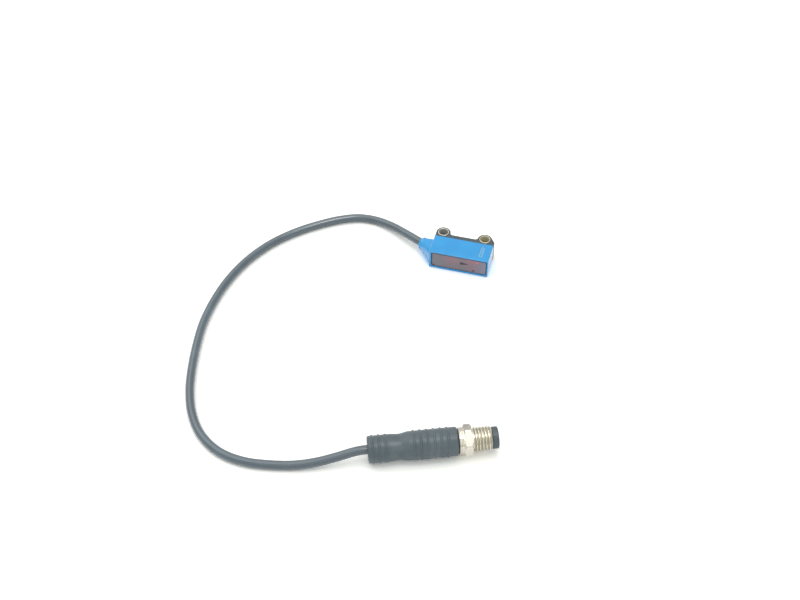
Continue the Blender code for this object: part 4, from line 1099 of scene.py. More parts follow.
@dataclass
class Studio:
    """Pale floor, soft light and the camera of the photograph. Lengths are in metres."""

    camera_place: tuple[float, float, float] = (0.0643, -0.3127, 0.3038)
    camera_aim: tuple[float, float, float] = (-0.0137, -0.0262, 0.0)
    lens: float = 54.0
    floor_size: float = 3.0
    floor_tone: float = 0.85
    floor_mirrored: float = 1.25
    floor_seen: tuple[float, float, float] = (1.45, 1.46, 1.4)
    sky_light: float = 0.6
    sky_mirrored: Point2 = (0.75, 0.95)
    horizon_rise: float = 0.55
    key_light: float = 0.9
    key_place: tuple[float, float, float] = (-0.42, 0.22, 1.0)
    key_softness: float = radians(63.0)
    fill_light: float = 0.25
    fill_place: tuple[float, float, float] = (0.5, -0.8, 0.9)
    fill_softness: float = radians(60.0)
    ceiling_light: float = 0.2
    ceiling_place: tuple[float, float, float] = (0.23, -0.06, 0.97)
    ceiling_softness: float = radians(16.0)
    ceiling_mirrored: float = 4.0
    ceiling_edge: Point2 = (radians(11.0), radians(15.0))

    def build_camera(self) -> None:
        """Set the camera where the photograph was taken from."""
        data = bpy.data.cameras.new("camera")
        data.lens = self.lens
        data.clip_start, data.clip_end = 0.01, 20.0
        camera = bpy.data.objects.new("camera", data)
        bpy.context.scene.collection.objects.link(camera)
        place, aim = Vector(self.camera_place), Vector(self.camera_aim)
        camera.location = place
        camera.rotation_mode = "QUATERNION"
        camera.rotation_quaternion = (aim - place).to_track_quat("-Z", "Y")
        bpy.context.scene.camera = camera
        LOG.info("camera set")

    def seen_by(self, tree: bpy.types.NodeTree, *rays: Ray) -> bpy.types.NodeSocket:
        """Tell these rays, which see the white background, from the light's rays.

        Args:
            tree: The tree that gets the nodes.
            *rays: Kinds of ray.

        Returns:
            A socket that is 1 for any of these rays and 0 for the others.
        """
        path = add_node(tree, "ShaderNodeLightPath").outputs
        seen = path[rays[0].value]
        for ray in rays[1:]:
            pair = {0: seen, 1: path[ray.value]}
            seen = add_node(tree, "ShaderNodeMath", pair, operation="MAXIMUM").outputs[0]
        return seen

    def build_floor(self) -> None:
        """Lay the floor, white to the eye and pale to the light, with the object's shadow."""
        half = self.floor_size / 2
        mesh = bpy.data.meshes.new("floor")
        mesh.from_pydata([(-half, -half, 0), (half, -half, 0), (half, half, 0), (-half, half, 0)],
                         [], [(0, 1, 2, 3)])
        floor = bpy.data.objects.new("floor", mesh)
        bpy.context.scene.collection.objects.link(floor)
        material = bpy.data.materials.new("white_paper_sheet")
        material.use_nodes = True
        tree = material.node_tree
        tree.nodes.clear()
        lit: object = (self.floor_tone,) * 3 + (1.0,)
        for tone, rays in (((self.floor_mirrored,) * 3, (Ray.GLOSSY, Ray.TRANSMISSION)),
                           (self.floor_seen, (Ray.CAMERA,))):
            tones = {0: self.seen_by(tree, *rays), 6: lit, 7: tone + (1.0,)}
            lit = add_node(tree, "ShaderNodeMix", tones, data_type="RGBA").outputs[2]
        paper = add_node(tree, "ShaderNodeBsdfDiffuse", {"Color": lit}).outputs[0]
        add_node(tree, "ShaderNodeOutputMaterial", {"Surface": paper})
        mesh.materials.append(material)

    def build_light(self) -> None:
        """Light the object with a white sky, a soft key from behind and a weak fill.

        A small lamp nearly overhead, which glossy rays see as a bright disc, draws the line along
        the cable. They see the sky dimmer towards the horizon, as in a room lit from above.
        """
        world = bpy.data.worlds.new("studio")
        world.use_nodes = True
        bpy.context.scene.world = world
        tree = world.node_tree
        tree.nodes.clear()
        toward = add_node(tree, "ShaderNodeTexCoord").outputs["Generated"]
        height = add_node(tree, "ShaderNodeSeparateXYZ", {0: toward}).outputs[2]
        mirrored = add_node(tree, "ShaderNodeMapRange", {
            "Value": height, "From Min": 0.0, "From Max": self.horizon_rise,
            "To Min": self.sky_mirrored[0], "To Max": self.sky_mirrored[1]},
            interpolation_type="SMOOTHSTEP").outputs[0]
        overhead = Vector(self.ceiling_place).normalized()
        near = add_node(tree, "ShaderNodeVectorMath", {0: toward, 1: overhead},
                        operation="DOT_PRODUCT").outputs["Value"]
        panel = add_node(tree, "ShaderNodeMapRange", {
            "Value": near, "From Min": cos(self.ceiling_edge[1]),
            "From Max": cos(self.ceiling_edge[0]), "To Min": 0.0,
            "To Max": self.ceiling_mirrored}).outputs[0]
        mirrored = add_node(tree, "ShaderNodeMath", {0: mirrored, 1: panel}).outputs[0]
        strength: object = self.sky_light
        for level, rays in ((mirrored, (Ray.GLOSSY, Ray.TRANSMISSION)), (1.0, (Ray.CAMERA,))):
            levels = {0: self.seen_by(tree, *rays), 2: strength, 3: level}
            strength = add_node(tree, "ShaderNodeMix", levels).outputs[0]
        sky = add_node(tree, "ShaderNodeBackground",
                       {"Color": (1.0, 1.0, 1.0, 1.0), "Strength": strength}).outputs[0]
        add_node(tree, "ShaderNodeOutputWorld", {"Surface": sky})
        lamps = (("key", self.key_light, self.key_place, self.key_softness),
                 ("fill", self.fill_light, self.fill_place, self.fill_softness),
                 ("ceiling", self.ceiling_light, self.ceiling_place, self.ceiling_softness))
        for name, energy, place, softness in lamps:
            data = bpy.data.lights.new(name, "SUN")
            data.energy = energy
            data.angle = softness
            lamp = bpy.data.objects.new(name, data)
            lamp.rotation_mode = "QUATERNION"
            lamp.rotation_quaternion = Vector(place).to_track_quat("Z", "Y")
            bpy.context.scene.collection.objects.link(lamp)
        LOG.info("studio lit")


@dataclass
class SensorHead:
    """The sensor's head: blue shell with its spout, window, black cover, bushings and guide."""

    length: float = 21.8
    thickness: float = 7.7
    shell_depth: float = 9.2
    edge_radius: float = 0.4
    seam: float = 0.1
    seat: float = 0.2
    press: float = 0.06
    mouth_round: float = 0.12
    lip_cable_end: float = 0.95
    lip_far_end: float = 0.45
    lip_lower: float = 1.0
    lip_upper: float = 0.35
    ledge: float = 0.5
    window_thickness: float = 1.0
    window_set_back: float = 0.05
    window_corner: float = 0.45
    window_round: float = 0.14
    mark_depth: float = 0.1
    mark_sunk: float = 0.025
    mark_play: float = 0.03
    mark_floor_gap: float = 0.005
    cavity_start: float = 0.5
    cavity_corner: float = 0.3
    spout_slant: float = radians(25.0)
    spout_axis_depth: float = 5.6
    spout_diameter: float = 5.0
    spout_reach: float = 5.3
    spout_straight: float = 1.5
    spout_rim: float = 1.1
    spout_base_rear: float = 8.0
    spout_base_inset: float = 0.3
    spout_base_corner: float = 1.6
    cable_bore: float = 3.4
    cable_lead: float = 0.2
    seal_pocket: float = 4.8
    cover_thickness: float = 1.6
    cover_round: float = 0.2
    rim_depth: float = 1.1
    rim_wall: float = 0.6
    rim_corner: float = 0.2
    ear_diameter: float = 5.2
    ear_spacing: float = 15.45
    ear_back: float = 11.7
    ear_fillet: float = 1.1
    ear_inset: float = 0.2
    ear_lead: float = 0.12
    bushing_diameter: float = 4.2
    bushing_bore: float = 3.2
    bushing_round: float = 0.15
    bushing_inset: float = 0.1
    guide_width: float = 1.2
    guide_length: float = 5.2
    guide_from_far_end: float = 3.35
    guide_from_front: float = 2.0
    guide_gap: float = 0.02
    guide_edge: float = 0.05
    guide_crown: float = 0.03

    def __post_init__(self) -> None:
        """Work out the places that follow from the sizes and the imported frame."""
        cover_low, cover_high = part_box("rear_cover")
        shell_low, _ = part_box("housing")
        self.corner = Vector((cover_low.x, shell_low.y, shell_low.z))
        self.place = Matrix.Translation(self.corner) @ Matrix.Diagonal((MM, MM, MM, 1.0))
        self.window_back = self.window_set_back + self.window_thickness
        self.shelf = self.window_back + self.seam
        self.cavity_low = Vector((self.lip_cable_end + self.ledge, self.shelf,
                                  self.lip_lower + self.ledge))
        self.cavity_high = Vector((self.length - self.lip_far_end - self.ledge, self.shell_depth,
                                   self.thickness - self.lip_upper - self.ledge))
        self.cover_front = self.shell_depth + self.seam
        self.cover_back = self.cover_front + self.cover_thickness
        self.ears = (self.ear_diameter / 2, self.ear_diameter / 2 + self.ear_spacing)
        self.spout_out = Vector((-cos(self.spout_slant), sin(self.spout_slant), 0.0))
        self.spout_side = Vector((sin(self.spout_slant), cos(self.spout_slant), 0.0))
        self.spout_origin = Vector((0.0, self.spout_axis_depth, self.thickness / 2))

    def spout_point(self, distance: float) -> Vector:
        """Return the point on the spout's axis this far out of the cable end's face."""
        return self.spout_origin + self.spout_out * distance

    def spout_ring(self, distance: float, radius: float, count: int) -> list[Vector]:
        """Return a circle round the spout's axis.

        Args:
            distance: How far out of the cable end's face it is.
            radius: Its radius.
            count: Its points.

        Returns:
            The points, in the order of a rounded rectangle's.
        """
        centre = self.spout_point(distance)
        return [centre + (self.spout_side * cos(a) + UP * sin(a)) * radius
                for a in even_angles(count, pi / count)]

    def tube_tool(self, name: str, stretches: Sequence[Point2], count: int) -> bpy.types.Mesh:
        """Return a round tool on the spout's axis.

        Args:
            name: The tool's name.
            stretches: Points of distance and radius.
            count: Points of each circle.

        Returns:
            The closed tool.
        """
        return loft(name, [self.spout_ring(d, r, count) for d, r in stretches])

    def prism_tool(self, name: str, outline: Outline, levels: Sequence[Point2],
                   upright: bool) -> bpy.types.Mesh:
        """Return a tool with an outline that shrinks or grows from level to level.

        Args:
            name: The tool's name.
            outline: Its outline, anticlockwise.
            levels: Points of level and inset.
            upright: Whether it stands along Z; otherwise it lies along Y.

        Returns:
            The closed tool.
        """
        rings = []
        for level, inset in levels:
            points = shrunk(outline, inset)
            rings.append([(x, y, level) if upright else (x, level, y) for x, y in points])
        return loft(name, rings)

    def spout(self) -> bpy.types.Mesh:
        """Return the spout: a loft from a wide base on the end wall to a round, domed nose.

        Returns:
            The closed mesh, which reaches into the shell's wall.
        """
        corner_steps, stretches, dome_steps = 13, 14, 10
        count = 4 * (corner_steps + 1)
        low = (self.spout_base_inset, self.spout_base_inset)
        high = (self.spout_base_rear, self.thickness - self.spout_base_inset)
        base = rounded_rectangle(low, high, self.spout_base_corner, corner_steps)
        radius = self.spout_diameter / 2
        nose = self.spout_ring(self.spout_reach - self.spout_straight, radius, count)
        rings = [[Vector((self.lip_cable_end / 2, y, z)) for y, z in base]]
        for k in range(stretches + 1):
            share = k / stretches
            rings.append([Vector((0.0, y, z)).lerp(tip, share) for (y, z), tip in zip(base, nose)])
        for back, inset in quarter(self.spout_rim, dome_steps):
            rings.append(self.spout_ring(self.spout_reach - back, radius - inset, count))
        return loft("spout", rings)

    def rounded_block(self) -> bpy.types.Mesh:
        """Return the shell's outer block with all its edges rounded.

        Returns:
            The closed mesh.
        """
        bm = bmesh.new()
        bmesh.ops.create_cube(bm, size=1.0)
        size = Vector((self.length, self.shell_depth, self.thickness))
        bmesh.ops.scale(bm, vec=size, verts=bm.verts)
        bmesh.ops.translate(bm, vec=size / 2, verts=bm.verts)
        bmesh.ops.bevel(bm, geom=bm.edges[:], offset=self.edge_radius, segments=6, profile=0.5,
                        affect="EDGES")
        mesh = bpy.data.meshes.new("shell")
        bm.to_mesh(mesh)
        bm.free()
        return mesh

    def build_shell(self) -> None:
        """Build the blue shell, open at the window and at the back, with softened mouths."""
        shell = scratch(self.rounded_block())
        carve(shell, self.spout(), Cut.JOIN)
        mouth = [(back, -inset) for back, inset in self.flare()]

        recess = rounded_rectangle((self.lip_cable_end, self.lip_lower),
                                   (self.length - self.lip_far_end,
                                    self.thickness - self.lip_upper), self.window_corner)
        carve(shell, self.prism_tool("window_recess", recess, mouth + [(self.shelf, 0.0)], False))
        cavity = rounded_rectangle((self.cavity_low.x, self.cavity_low.z),
                                   (self.cavity_high.x, self.cavity_high.z),
                                   self.cavity_corner, 3)
        carve(shell, self.prism_tool("cavity", cavity, (
            (self.cavity_start, 0.0), (self.shell_depth + PAST, 0.0)), False))
        inner = -self.cavity_low.x / cos(self.spout_slant) - self.cable_bore
        radius = self.cable_bore / 2
        carve(shell, self.tube_tool("cable_bore", (
            (inner, radius), (self.spout_reach - self.cable_lead, radius),
            (self.spout_reach + PAST, radius + self.cable_lead + PAST)), 64))
        carve(shell, self.tube_tool("seal_pocket", ((inner, self.seal_pocket / 2),
                                                    (self.seat, self.seal_pocket / 2)), 48))
        slot = self.guide_outline(self.seam)
        top = [(self.thickness - back, -inset) for back, inset in self.flare(0.5)]
        carve(shell, self.prism_tool("guide_slot", slot,
                                     [(self.cavity_high.z - PAST, 0.0)] + top[::-1], True))
        add_piece("shell", solid(shell, 34.0, weighted=True), self.place, SHELL_BLUE,
                  ["housing"])

    def flare(self, share: float = 1.0) -> list[Point2]:
        """Return (level, growth) pairs of a tool's mouth, from outside the face to its wall.

        Args:
            share: Share of the mouth's full rounding.

        Returns:
            The pairs, with the face at level 0 and the growth outwards.
        """
        radius = self.mouth_round * share
        wide = [(-PAST, radius + 1e-3)]
        return wide + [(radius - rise, inset) for rise, inset in quarter(radius)][::-1]

    def guide_outline(self, play: float) -> Outline:
        """Return the light guide's outline, a capsule.

        Args:
            play: How far it is grown.

        Returns:
            The outline, anticlockwise.
        """
        half, steps = self.guide_width / 2, 16
        middle = self.length - self.guide_from_far_end
        rear = (middle, self.guide_from_front + self.guide_length - half)
        front = (middle, self.guide_from_front + half)
        return arc(rear, half + play, 0.0, pi, steps) + arc(front, half + play, pi, tau, steps)

    def build_guide(self) -> None:
        """Build the light guide, with the attribute that its rim follows."""
        insets = (0.0, 0.02, 0.05, 0.12, 0.2, 0.3, 0.4, 0.5)
        outline = self.guide_outline(self.seam - self.guide_gap)
        rings = [[(x, y, self.cavity_high.z) for x, y in outline]]
        for inset in insets:
            drop = self.guide_edge * max(0.0, 1.0 - inset / self.guide_edge)
            sink = self.guide_crown * (1.0 - inset / insets[-1])
            level = self.thickness - drop - sink
            rings.append([(x, y, level) for x, y in shrunk(outline, inset)])
        mesh = loft("light_guide", rings)
        attribute = mesh.attributes.new("inset", "FLOAT", "POINT")
        middle = self.length - self.guide_from_far_end
        low = self.guide_from_front + self.guide_width / 2
        high = self.guide_from_front + self.guide_length - self.guide_width / 2
        for vertex, value in zip(mesh.vertices, attribute.data):
            nearest = min(max(vertex.co.y, low), high)
            away = hypot(vertex.co.x - middle, vertex.co.y - nearest)
            value.value = self.guide_width / 2 - away
        front = self.corner.y + (self.guide_from_front + 0.5 * self.guide_length) * MM
        finish = MilkyGuide("milky_polycarbonate_guide", front_place=front, **GUIDE_COLOURS)
        add_piece("light_guide", solid(scratch(mesh)), self.place, finish,
                  ["indicator_light_guide"])

    def build_window(self) -> None:
        """Build the dark red window with its rounded edge, and the dark marks moulded in it."""
        low = (self.lip_cable_end + self.seam, self.lip_lower + self.seam)
        high = (self.length - self.lip_far_end - self.seam,
                self.thickness - self.lip_upper - self.seam)
        outline = rounded_rectangle(low, high, self.window_corner - self.seam)
        levels = [(self.window_back, 0.0)]
        levels += [(self.window_set_back + rise, inset)
                   for rise, inset in quarter(self.window_round, 5)]
        pane = scratch(self.prism_tool("window", outline, levels, False))
        front = self.window_set_back
        marks = {"pane_arrow": ARROW}
        circle = arc((0.0, 0.0), 1.0, 0.0, tau, 28)[:-1]
        for name, (middle, reach) in DARK_SPOTS.items():
            marks[name] = [(middle[0] + reach[0] * x, middle[1] + reach[1] * z)
                           for x, z in circle]
        for name, shape in marks.items():
            carve(pane, self.prism_tool(name, shape, (
                (front - PAST, 0.0), (front + self.mark_depth, 0.0)), False))
        finish = TintedWindow("dark_red_acrylic_polished", corner=tuple(self.corner), low=low,
                              high=high, painted_glows=WINDOW_PAINTED_GLOWS, **WINDOW_COLOURS)
        add_piece("window", solid(pane, 30.0, weighted=True), self.place, finish,
                  ["front_window"])
        for name, shape in marks.items():
            inlay = self.prism_tool(name, shape, (
                (front + self.mark_sunk, self.mark_play),
                (front + self.mark_depth - self.mark_floor_gap, self.mark_play)), False)
            add_piece(name, solid(scratch(inlay)), self.place, MARK_BLACK)

    def cover_outline(self) -> Outline:
        """Return the cover's outline from above, with tangent ears, fillets and the gusset.

        Returns:
            The outline, anticlockwise.
        """
        near, far = self.ears
        radius, steps = self.ear_diameter / 2, 44
        away = (self.length - far, self.cover_back - self.ear_back)
        angle = atan2(away[1], away[0]) + acos(radius / hypot(*away))
        outline = [(0.0, self.cover_front), (self.length, self.cover_front),
                   (self.length, self.cover_back)]
        rise = self.cover_back + self.ear_fillet - self.ear_back
        reach = sqrt((radius + self.ear_fillet) ** 2 - rise ** 2)
        left = (far - reach, self.cover_back + self.ear_fillet)
        touch = atan2(left[1] - self.ear_back, left[0] - far) % tau
        outline += arc((far, self.ear_back), radius, angle, touch, steps)
        outline += arc(left, self.ear_fillet, touch - pi, -0.5 * pi, 12)[1:]
        right = (near + reach, self.cover_back + self.ear_fillet)
        touch = atan2(right[1] - self.ear_back, right[0] - near)
        outline += arc(right, self.ear_fillet, -0.5 * pi, touch - pi, 12)
        return outline + arc((near, self.ear_back), radius, touch, pi, steps)[1:]

    def build_cover(self) -> None:
        """Build the black rear cover with its ears, its rounded rims and the holes."""
        outline = self.cover_outline()
        low, high = self.ear_inset, self.thickness - self.ear_inset
        rounds = quarter(self.cover_round)
        levels = [(low + rise, inset) for rise, inset in rounds[::-1]]
        levels += [(high - rise, inset) for rise, inset in rounds]
        cover = scratch(self.prism_tool("cover", outline, levels, True))
        wall, rim_start = self.rim_wall, self.shell_depth - self.rim_depth
        rim = [(self.cavity_low.x + self.seat, self.cavity_low.z + self.seat),
               (self.cavity_high.x - self.seat, self.cavity_high.z - self.seat)]
        outside = rounded_rectangle(rim[0], rim[1], self.rim_corner, 3)
        carve(cover, self.prism_tool("rim", outside, (
            (rim_start, 0.0),
            (self.cover_front + self.cover_thickness / 2, 0.0)), False), Cut.JOIN)
        hollow = rounded_rectangle((rim[0][0] + wall, rim[0][1] + wall),
                                   (rim[1][0] - wall, rim[1][1] - wall), self.rim_corner, 3)
        carve(cover, self.prism_tool("rim_hollow", hollow, (
            (rim_start - PAST, 0.0), (self.cover_front, 0.0)), False))
        lead, radius = self.ear_lead, self.bushing_diameter / 2 + self.press
        for number, ear in enumerate(self.ears, start=1):
            circle = arc((ear, self.ear_back), radius, 0.0, tau, 72)[:-1]
            carve(cover, self.prism_tool(f"ear_hole_{number}", circle, (
                (low - PAST, -lead - PAST), (low + lead, 0.0), (high - lead, 0.0),
                (high + PAST, -lead - PAST)), True))
        add_piece("cover", solid(cover, 34.0, weighted=True), self.place, COVER_BLACK,
                  ["rear_cover"])

    def build_bushings(self) -> None:
        """Build the two bushings, with rounded rims and a bore darkened towards its middle."""
        inner, outer = self.bushing_bore / 2, self.bushing_diameter / 2
        low, high = self.bushing_inset, self.thickness - self.bushing_inset
        soft = quarter(self.bushing_round, 4)
        profile = [(high - rise, outer - inset) for rise, inset in soft]
        profile += [(high - rise, inner + inset) for rise, inset in soft[::-1]]
        steps = 24
        profile += [(high + (low - high) * k / steps, inner) for k in range(1, steps)]
        profile += [(low + rise, inner + inset) for rise, inset in soft]
        profile += [(low + rise, outer - inset) for rise, inset in soft[::-1]]
        stand = Matrix.Rotation(-0.5 * pi, 4, "Y")
        for name, ear in zip(("cable_side_bushing", "far_side_bushing"), self.ears):
            mesh = turned(name, profile, even_angles(96), around=True)
            attribute = mesh.attributes.new("sunk", "FLOAT", "POINT")
            for vertex, value in zip(mesh.vertices, attribute.data):
                x, y, z = vertex.co
                in_bore = hypot(y, z) < inner + 0.01
                value.value = min(high - x, x - low) if in_bore else 0.0
            place = self.place @ Matrix.Translation((ear, self.ear_back, 0.0)) @ stand
            metal = TurnedMetal(f"nickel_on_{name}", stain_depth=0.5, stain_share=0.95, dust=0.95,
                                roughness=0.24, pitch=-0.5 * pi, **BUSHING_LOOKS[name])
            add_piece(f"{name}_fine", solid(scratch(mesh)), place, metal,
                      [name])

    def dress_inside(self) -> None:
        """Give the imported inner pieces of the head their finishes."""
        looks = {
            "optics_carrier": plain("black_carrier_moulded", "#1c1b1d", 0.6),
            "emitter_lens": ClearPlastic("clear_emitter_lens_moulded", "#e8eef2"),
            "receiver_lens": ClearPlastic("clear_receiver_lens_moulded", "#e8eef2"),
            "emitter_led": plain("red_epoxy_cast", "#c8281c", 0.25),
            "receiver_photodiode": plain("dark_epoxy_cast", "#241f2a", 0.2),
            "circuit_board": plain("green_solder_mask", "#176b3a", 0.35),
            "evaluation_chip": plain("black_epoxy_moulded", "#202022", 0.5),
            "power_led": plain("green_epoxy_cast", "#3fbf5c", 0.25),
            "signal_led": plain("yellow_epoxy_cast", "#e8bd2a", 0.25),
            "cable_seal": plain("black_rubber_moulded", "#202122", 0.75),
        }
        for node, finish in looks.items():
            dress_node(node, finish)


def dress_node(node: str, finish: Finish) -> None:
    """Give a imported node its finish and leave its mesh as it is.

    Args:
        node: The node's name.
        finish: Its finish.
    """
    mesh = frame["nodes"][node].data
    mesh.materials.clear()
    mesh.materials.append(finish.material())
    LOG.info("%s: packed piece in %s", node, finish.name)


@dataclass
class RoundPlug:
    """The M8 plug on the cable's end: moulding, contact carrier, pins and coupling screw."""

    pivot_from_rear: float = 30.4
    length: float = 28.2
    cable_depth: float = 12.0
    cable_bore: float = 3.4
    tail_diameter: float = 8.6
    tail_length: float = 6.5
    tail_round: float = 0.5
    mouth_lead: float = 0.15
    web_gap: float = 0.2
    moulding_pitch: float = 0.075
    waist_diameter: float = 8.2
    waist_place: float = 10.0
    grip_diameter: float = 9.2
    grip_start: float = 13.2
    grip_round: float = 0.5
    rib_width: float = 0.8
    rib_height: float = 0.25
    rib_pitch: float = 2.12
    rib_blend: float = 0.26
    rib_skin: float = 0.99
    tail_ribs: int = 3
    tail_rib_start: float = 1.5
    grip_ribs: int = 6
    grip_rib_start: float = 14.5
    parting_height: float = 0.03
    parting_width: float = radians(0.8)
    parting_skin: float = 0.9
    run: float = 0.2
    press: float = 0.06
    ring_diameter: float = 8.8
    ring_length: float = 1.7
    ring_chamfer: float = 0.2
    ring_grooves: int = 3
    ring_groove_pitch: float = 0.45
    ring_groove_depth: float = 0.12
    ring_groove_width: float = 0.26
    ring_groove_blend: float = 0.12
    hexagon_flats: float = 9.0
    hexagon_corners: float = 10.1
    hexagon_length: float = 2.6
    hexagon_chamfer: float = radians(30.0)
    hexagon_turn: float = radians(33.5)
    hexagon_margin: float = 0.01
    thread_diameter: float = 8.0
    thread_length: float = 6.2
    thread_pitch: float = 1.0
    thread_depth: float = 0.6134
    thread_chamfer: float = 0.5
    undercut_depth: float = 0.6
    undercut_length: float = 0.4
    undercut_slope: float = 0.3
    screw_pitch: float = 0.05
    shaft_diameter: float = 5.8
    collar_diameter: float = 7.0
    collar_length: float = 1.9
    collar_round: float = 0.3
    collar_back_round: float = 0.15
    socket_diameter: float = 4.9
    socket_depth: float = 5.6
    socket_lead: float = 0.2
    anchor_diameter: float = 7.0
    anchor_length: float = 1.0
    anchor_setback: float = 1.2
    carrier_tail: float = 5.0
    pin_diameter: float = 1.0
    pin_circle: float = 3.1
    pin_count: int = 4
    pin_setback: float = 1.4
    pin_round: float = 0.35
    pin_point: float = 1.5
    pin_taper: float = 0.7
    pin_root: float = 0.5

    def __post_init__(self) -> None:
        """Work out the places that follow from the sizes and from the screw's joint."""
        joint = frame["joints"][0]
        axis = Vector(joint["axis"]).normalized()
        self.heading = atan2(axis.y, axis.x)
        self.tilt = asin(axis.z)
        rear = Vector(joint["pos_m"]) - axis * self.pivot_from_rear * MM
        turn = Matrix.Rotation(self.heading, 4, "Z") @ Matrix.Rotation(-self.tilt, 4, "Y")
        self.place = Matrix.Translation(rear) @ turn @ Matrix.Diagonal((MM, MM, MM, 1.0))
        self.screw_back = self.length + self.run
        self.hexagon_back = self.screw_back + self.ring_length
        self.hexagon_front = self.hexagon_back + self.hexagon_length
        self.thread_front = self.hexagon_front + self.thread_length
        self.collar_back = self.thread_front + self.run
        self.tip = self.collar_back + self.collar_length
        self.socket_floor = self.tip - self.socket_depth
        self.anchor_front = self.length - self.anchor_setback
        self.carrier_rear = self.anchor_front - self.anchor_length - self.carrier_tail

    def point(self, along: float) -> Vector:
        """Return a point on the plug's axis in the part frame, in metres."""
        return self.place @ Vector((along, 0.0, 0.0))

    def metal(self, name: str) -> TurnedMetal:
        """Return the nickel finish with its turning lines square to the plug's axis."""
        return TurnedMetal(name, heading=self.heading, pitch=-self.tilt, roughness=0.2,
                           stain_depth=0.55, stain_share=0.85, **NICKEL_SCREW_LOOK)

    def moulding_radius(self, along: float) -> float:
        """Return the moulding's radius between its ribs.

        Args:
            along: Distance from its rear end.

        Returns:
            The radius, which eases into the waist and out of it.
        """
        stretches = ((self.tail_length, self.tail_diameter, self.waist_place, self.waist_diameter),
                     (self.waist_place, self.waist_diameter, self.grip_start, self.grip_diameter))
        if along <= self.tail_length:
            return self.tail_diameter / 2
        for start, first, end, last in stretches:
            if along < end:
                share = (1.0 - cos(pi * (along - start) / (end - start))) / 2
                return (first + (last - first) * share) / 2
        return self.grip_diameter / 2

    def build_moulding(self) -> None:
        """Build the ribbed moulding with its waist, its parting line and its open ends."""
        shaft = self.shaft_diameter / 2 + self.press
        anchor = self.anchor_diameter / 2 + self.press
        bore, lead = self.cable_bore / 2, self.mouth_lead
        web = (self.cable_depth + self.web_gap, self.carrier_rear - self.web_gap)
        profile = [(web[0], 0.0), (web[0], bore), (lead, bore), (0.0, bore + lead)]
        profile += [(back, self.tail_diameter / 2 - inset)
                    for back, inset in quarter(self.tail_round, 6)[::-1]]
        start, end = self.tail_round, self.length - self.grip_round
        steps = ceil((end - start) / self.moulding_pitch)
        places = [start + (end - start) * k / steps for k in range(1, steps)]
        profile += [(along, self.moulding_radius(along)) for along in places]
        profile += [(self.length - back, self.grip_diameter / 2 - inset)
                    for back, inset in quarter(self.grip_round, 10)]
        front, rear = self.anchor_front + self.press, self.anchor_front - self.anchor_length
        profile += [(self.length, shaft), (front, shaft), (front, anchor),
                    (rear - self.press, anchor), (rear - self.press, shaft), (web[1], shaft),
                    (web[1], 0.0)]
        blank = turned("moulding", profile, self.parting_angles())
        self.raise_parting_line(blank)
        obj = scratch(blank)
        material = PLUG_BLACK.material()
        ribs = ribs_tree()
        for first, count in ((self.tail_rib_start, self.tail_ribs),
                             (self.grip_rib_start, self.grip_ribs)):
            run_tree(obj, ribs, {"First": first, "Pitch": self.rib_pitch, "Count": float(count),
                                 "Width": self.rib_width, "Height": self.rib_height,
                                 "Blend": self.rib_blend,
                                 "Bore": self.rib_skin * self.waist_diameter / 2,
                                 "Material": material})
        add_piece("plug_moulding", solid(obj, 40.0), self.place, PLUG_BLACK,
                  ["plug_body"])

    def parting_angles(self) -> list[float]:
        """Return the columns' angles, with four close ones at each side's parting line.

        Returns:
            The angles in order.
        """
        angles = set(round(a, 6) for a in even_angles(88))
        for side in (0.0, pi):
            angles |= {round((side + share * self.parting_width) % tau, 6)
                       for share in (-1.0, -0.4, 0.4, 1.0)}
        return sorted(angles)

    def raise_parting_line(self, mesh: bpy.types.Mesh) -> None:
        """Raise the thin line that the two halves of the mould leave on both sides.

        Args:
            mesh: The moulding's blank, changed in place.
        """
        inner = self.parting_skin * self.waist_diameter / 2
        for vertex in mesh.vertices:
            x, y, z = vertex.co
            radius = hypot(y, z)
            if radius > inner and abs(z) < 0.5 * sin(self.parting_width) * radius:
                scale = 1.0 + self.parting_height / radius
                vertex.co = (x, y * scale, z * scale)

    def build_carrier(self) -> None:
        """Build the contact carrier: the screw's shaft, its collar and the open socket."""
        shaft, collar = self.shaft_diameter / 2, self.collar_diameter / 2
        anchor, socket = self.anchor_diameter / 2, self.socket_diameter / 2
        back, front = self.anchor_front - self.anchor_length, self.anchor_front
        profile = [(self.carrier_rear, 0.0), (self.carrier_rear, shaft), (back, shaft),
                   (back, anchor), (front, anchor), (front, shaft), (self.collar_back, shaft)]
        profile += [(self.collar_back + rise, collar - inset)
                    for rise, inset in quarter(self.collar_back_round)[::-1]]
        profile += [(self.tip - rise, collar - inset)
                    for rise, inset in quarter(self.collar_round, 6)]
        profile += [(self.tip, socket + self.socket_lead), (self.tip - self.socket_lead, socket)]
        profile += [(self.socket_floor, socket), (self.socket_floor, 0.0)]
        mesh = turned("carrier", profile, even_angles(96))
        add_piece("contact_insert", solid(scratch(mesh)), self.place, CARRIER_BLACK,
                  ["contact_carrier"])

    def build_pins(self) -> None:
        """Build the four gold-plated pins as copies on their circle."""
        radius = self.pin_diameter / 2
        start, tip = self.socket_floor - self.pin_root, self.tip - self.pin_setback
        profile = [(start, 0.0), (start, radius)]
        taper = self.pin_taper * radius / self.pin_round
        profile += [(tip - self.pin_point * back, radius - taper * inset)
                    for back, inset in quarter(self.pin_round, 6)]
        profile += [(tip, 0.0)]
        obj = scratch(turned("pin", profile, even_angles(32)))
        gold = TurnedMetal("gold_on_brass_pin", "#e3b458", stain="#8a6426", patch="#d8a548",
                           roughness=0.18, heading=self.heading, pitch=-self.tilt)
        run_tree(obj, circle_tree(), {"Count": self.pin_count, "Radius": self.pin_circle / 2,
                                      "Turn": radians(45.0), "Material": gold.material()})
        pins = [f"contact_pin_{k + 1}" for k in range(self.pin_count)]
        add_piece("contact_pins", solid(obj), self.place, gold, pins)

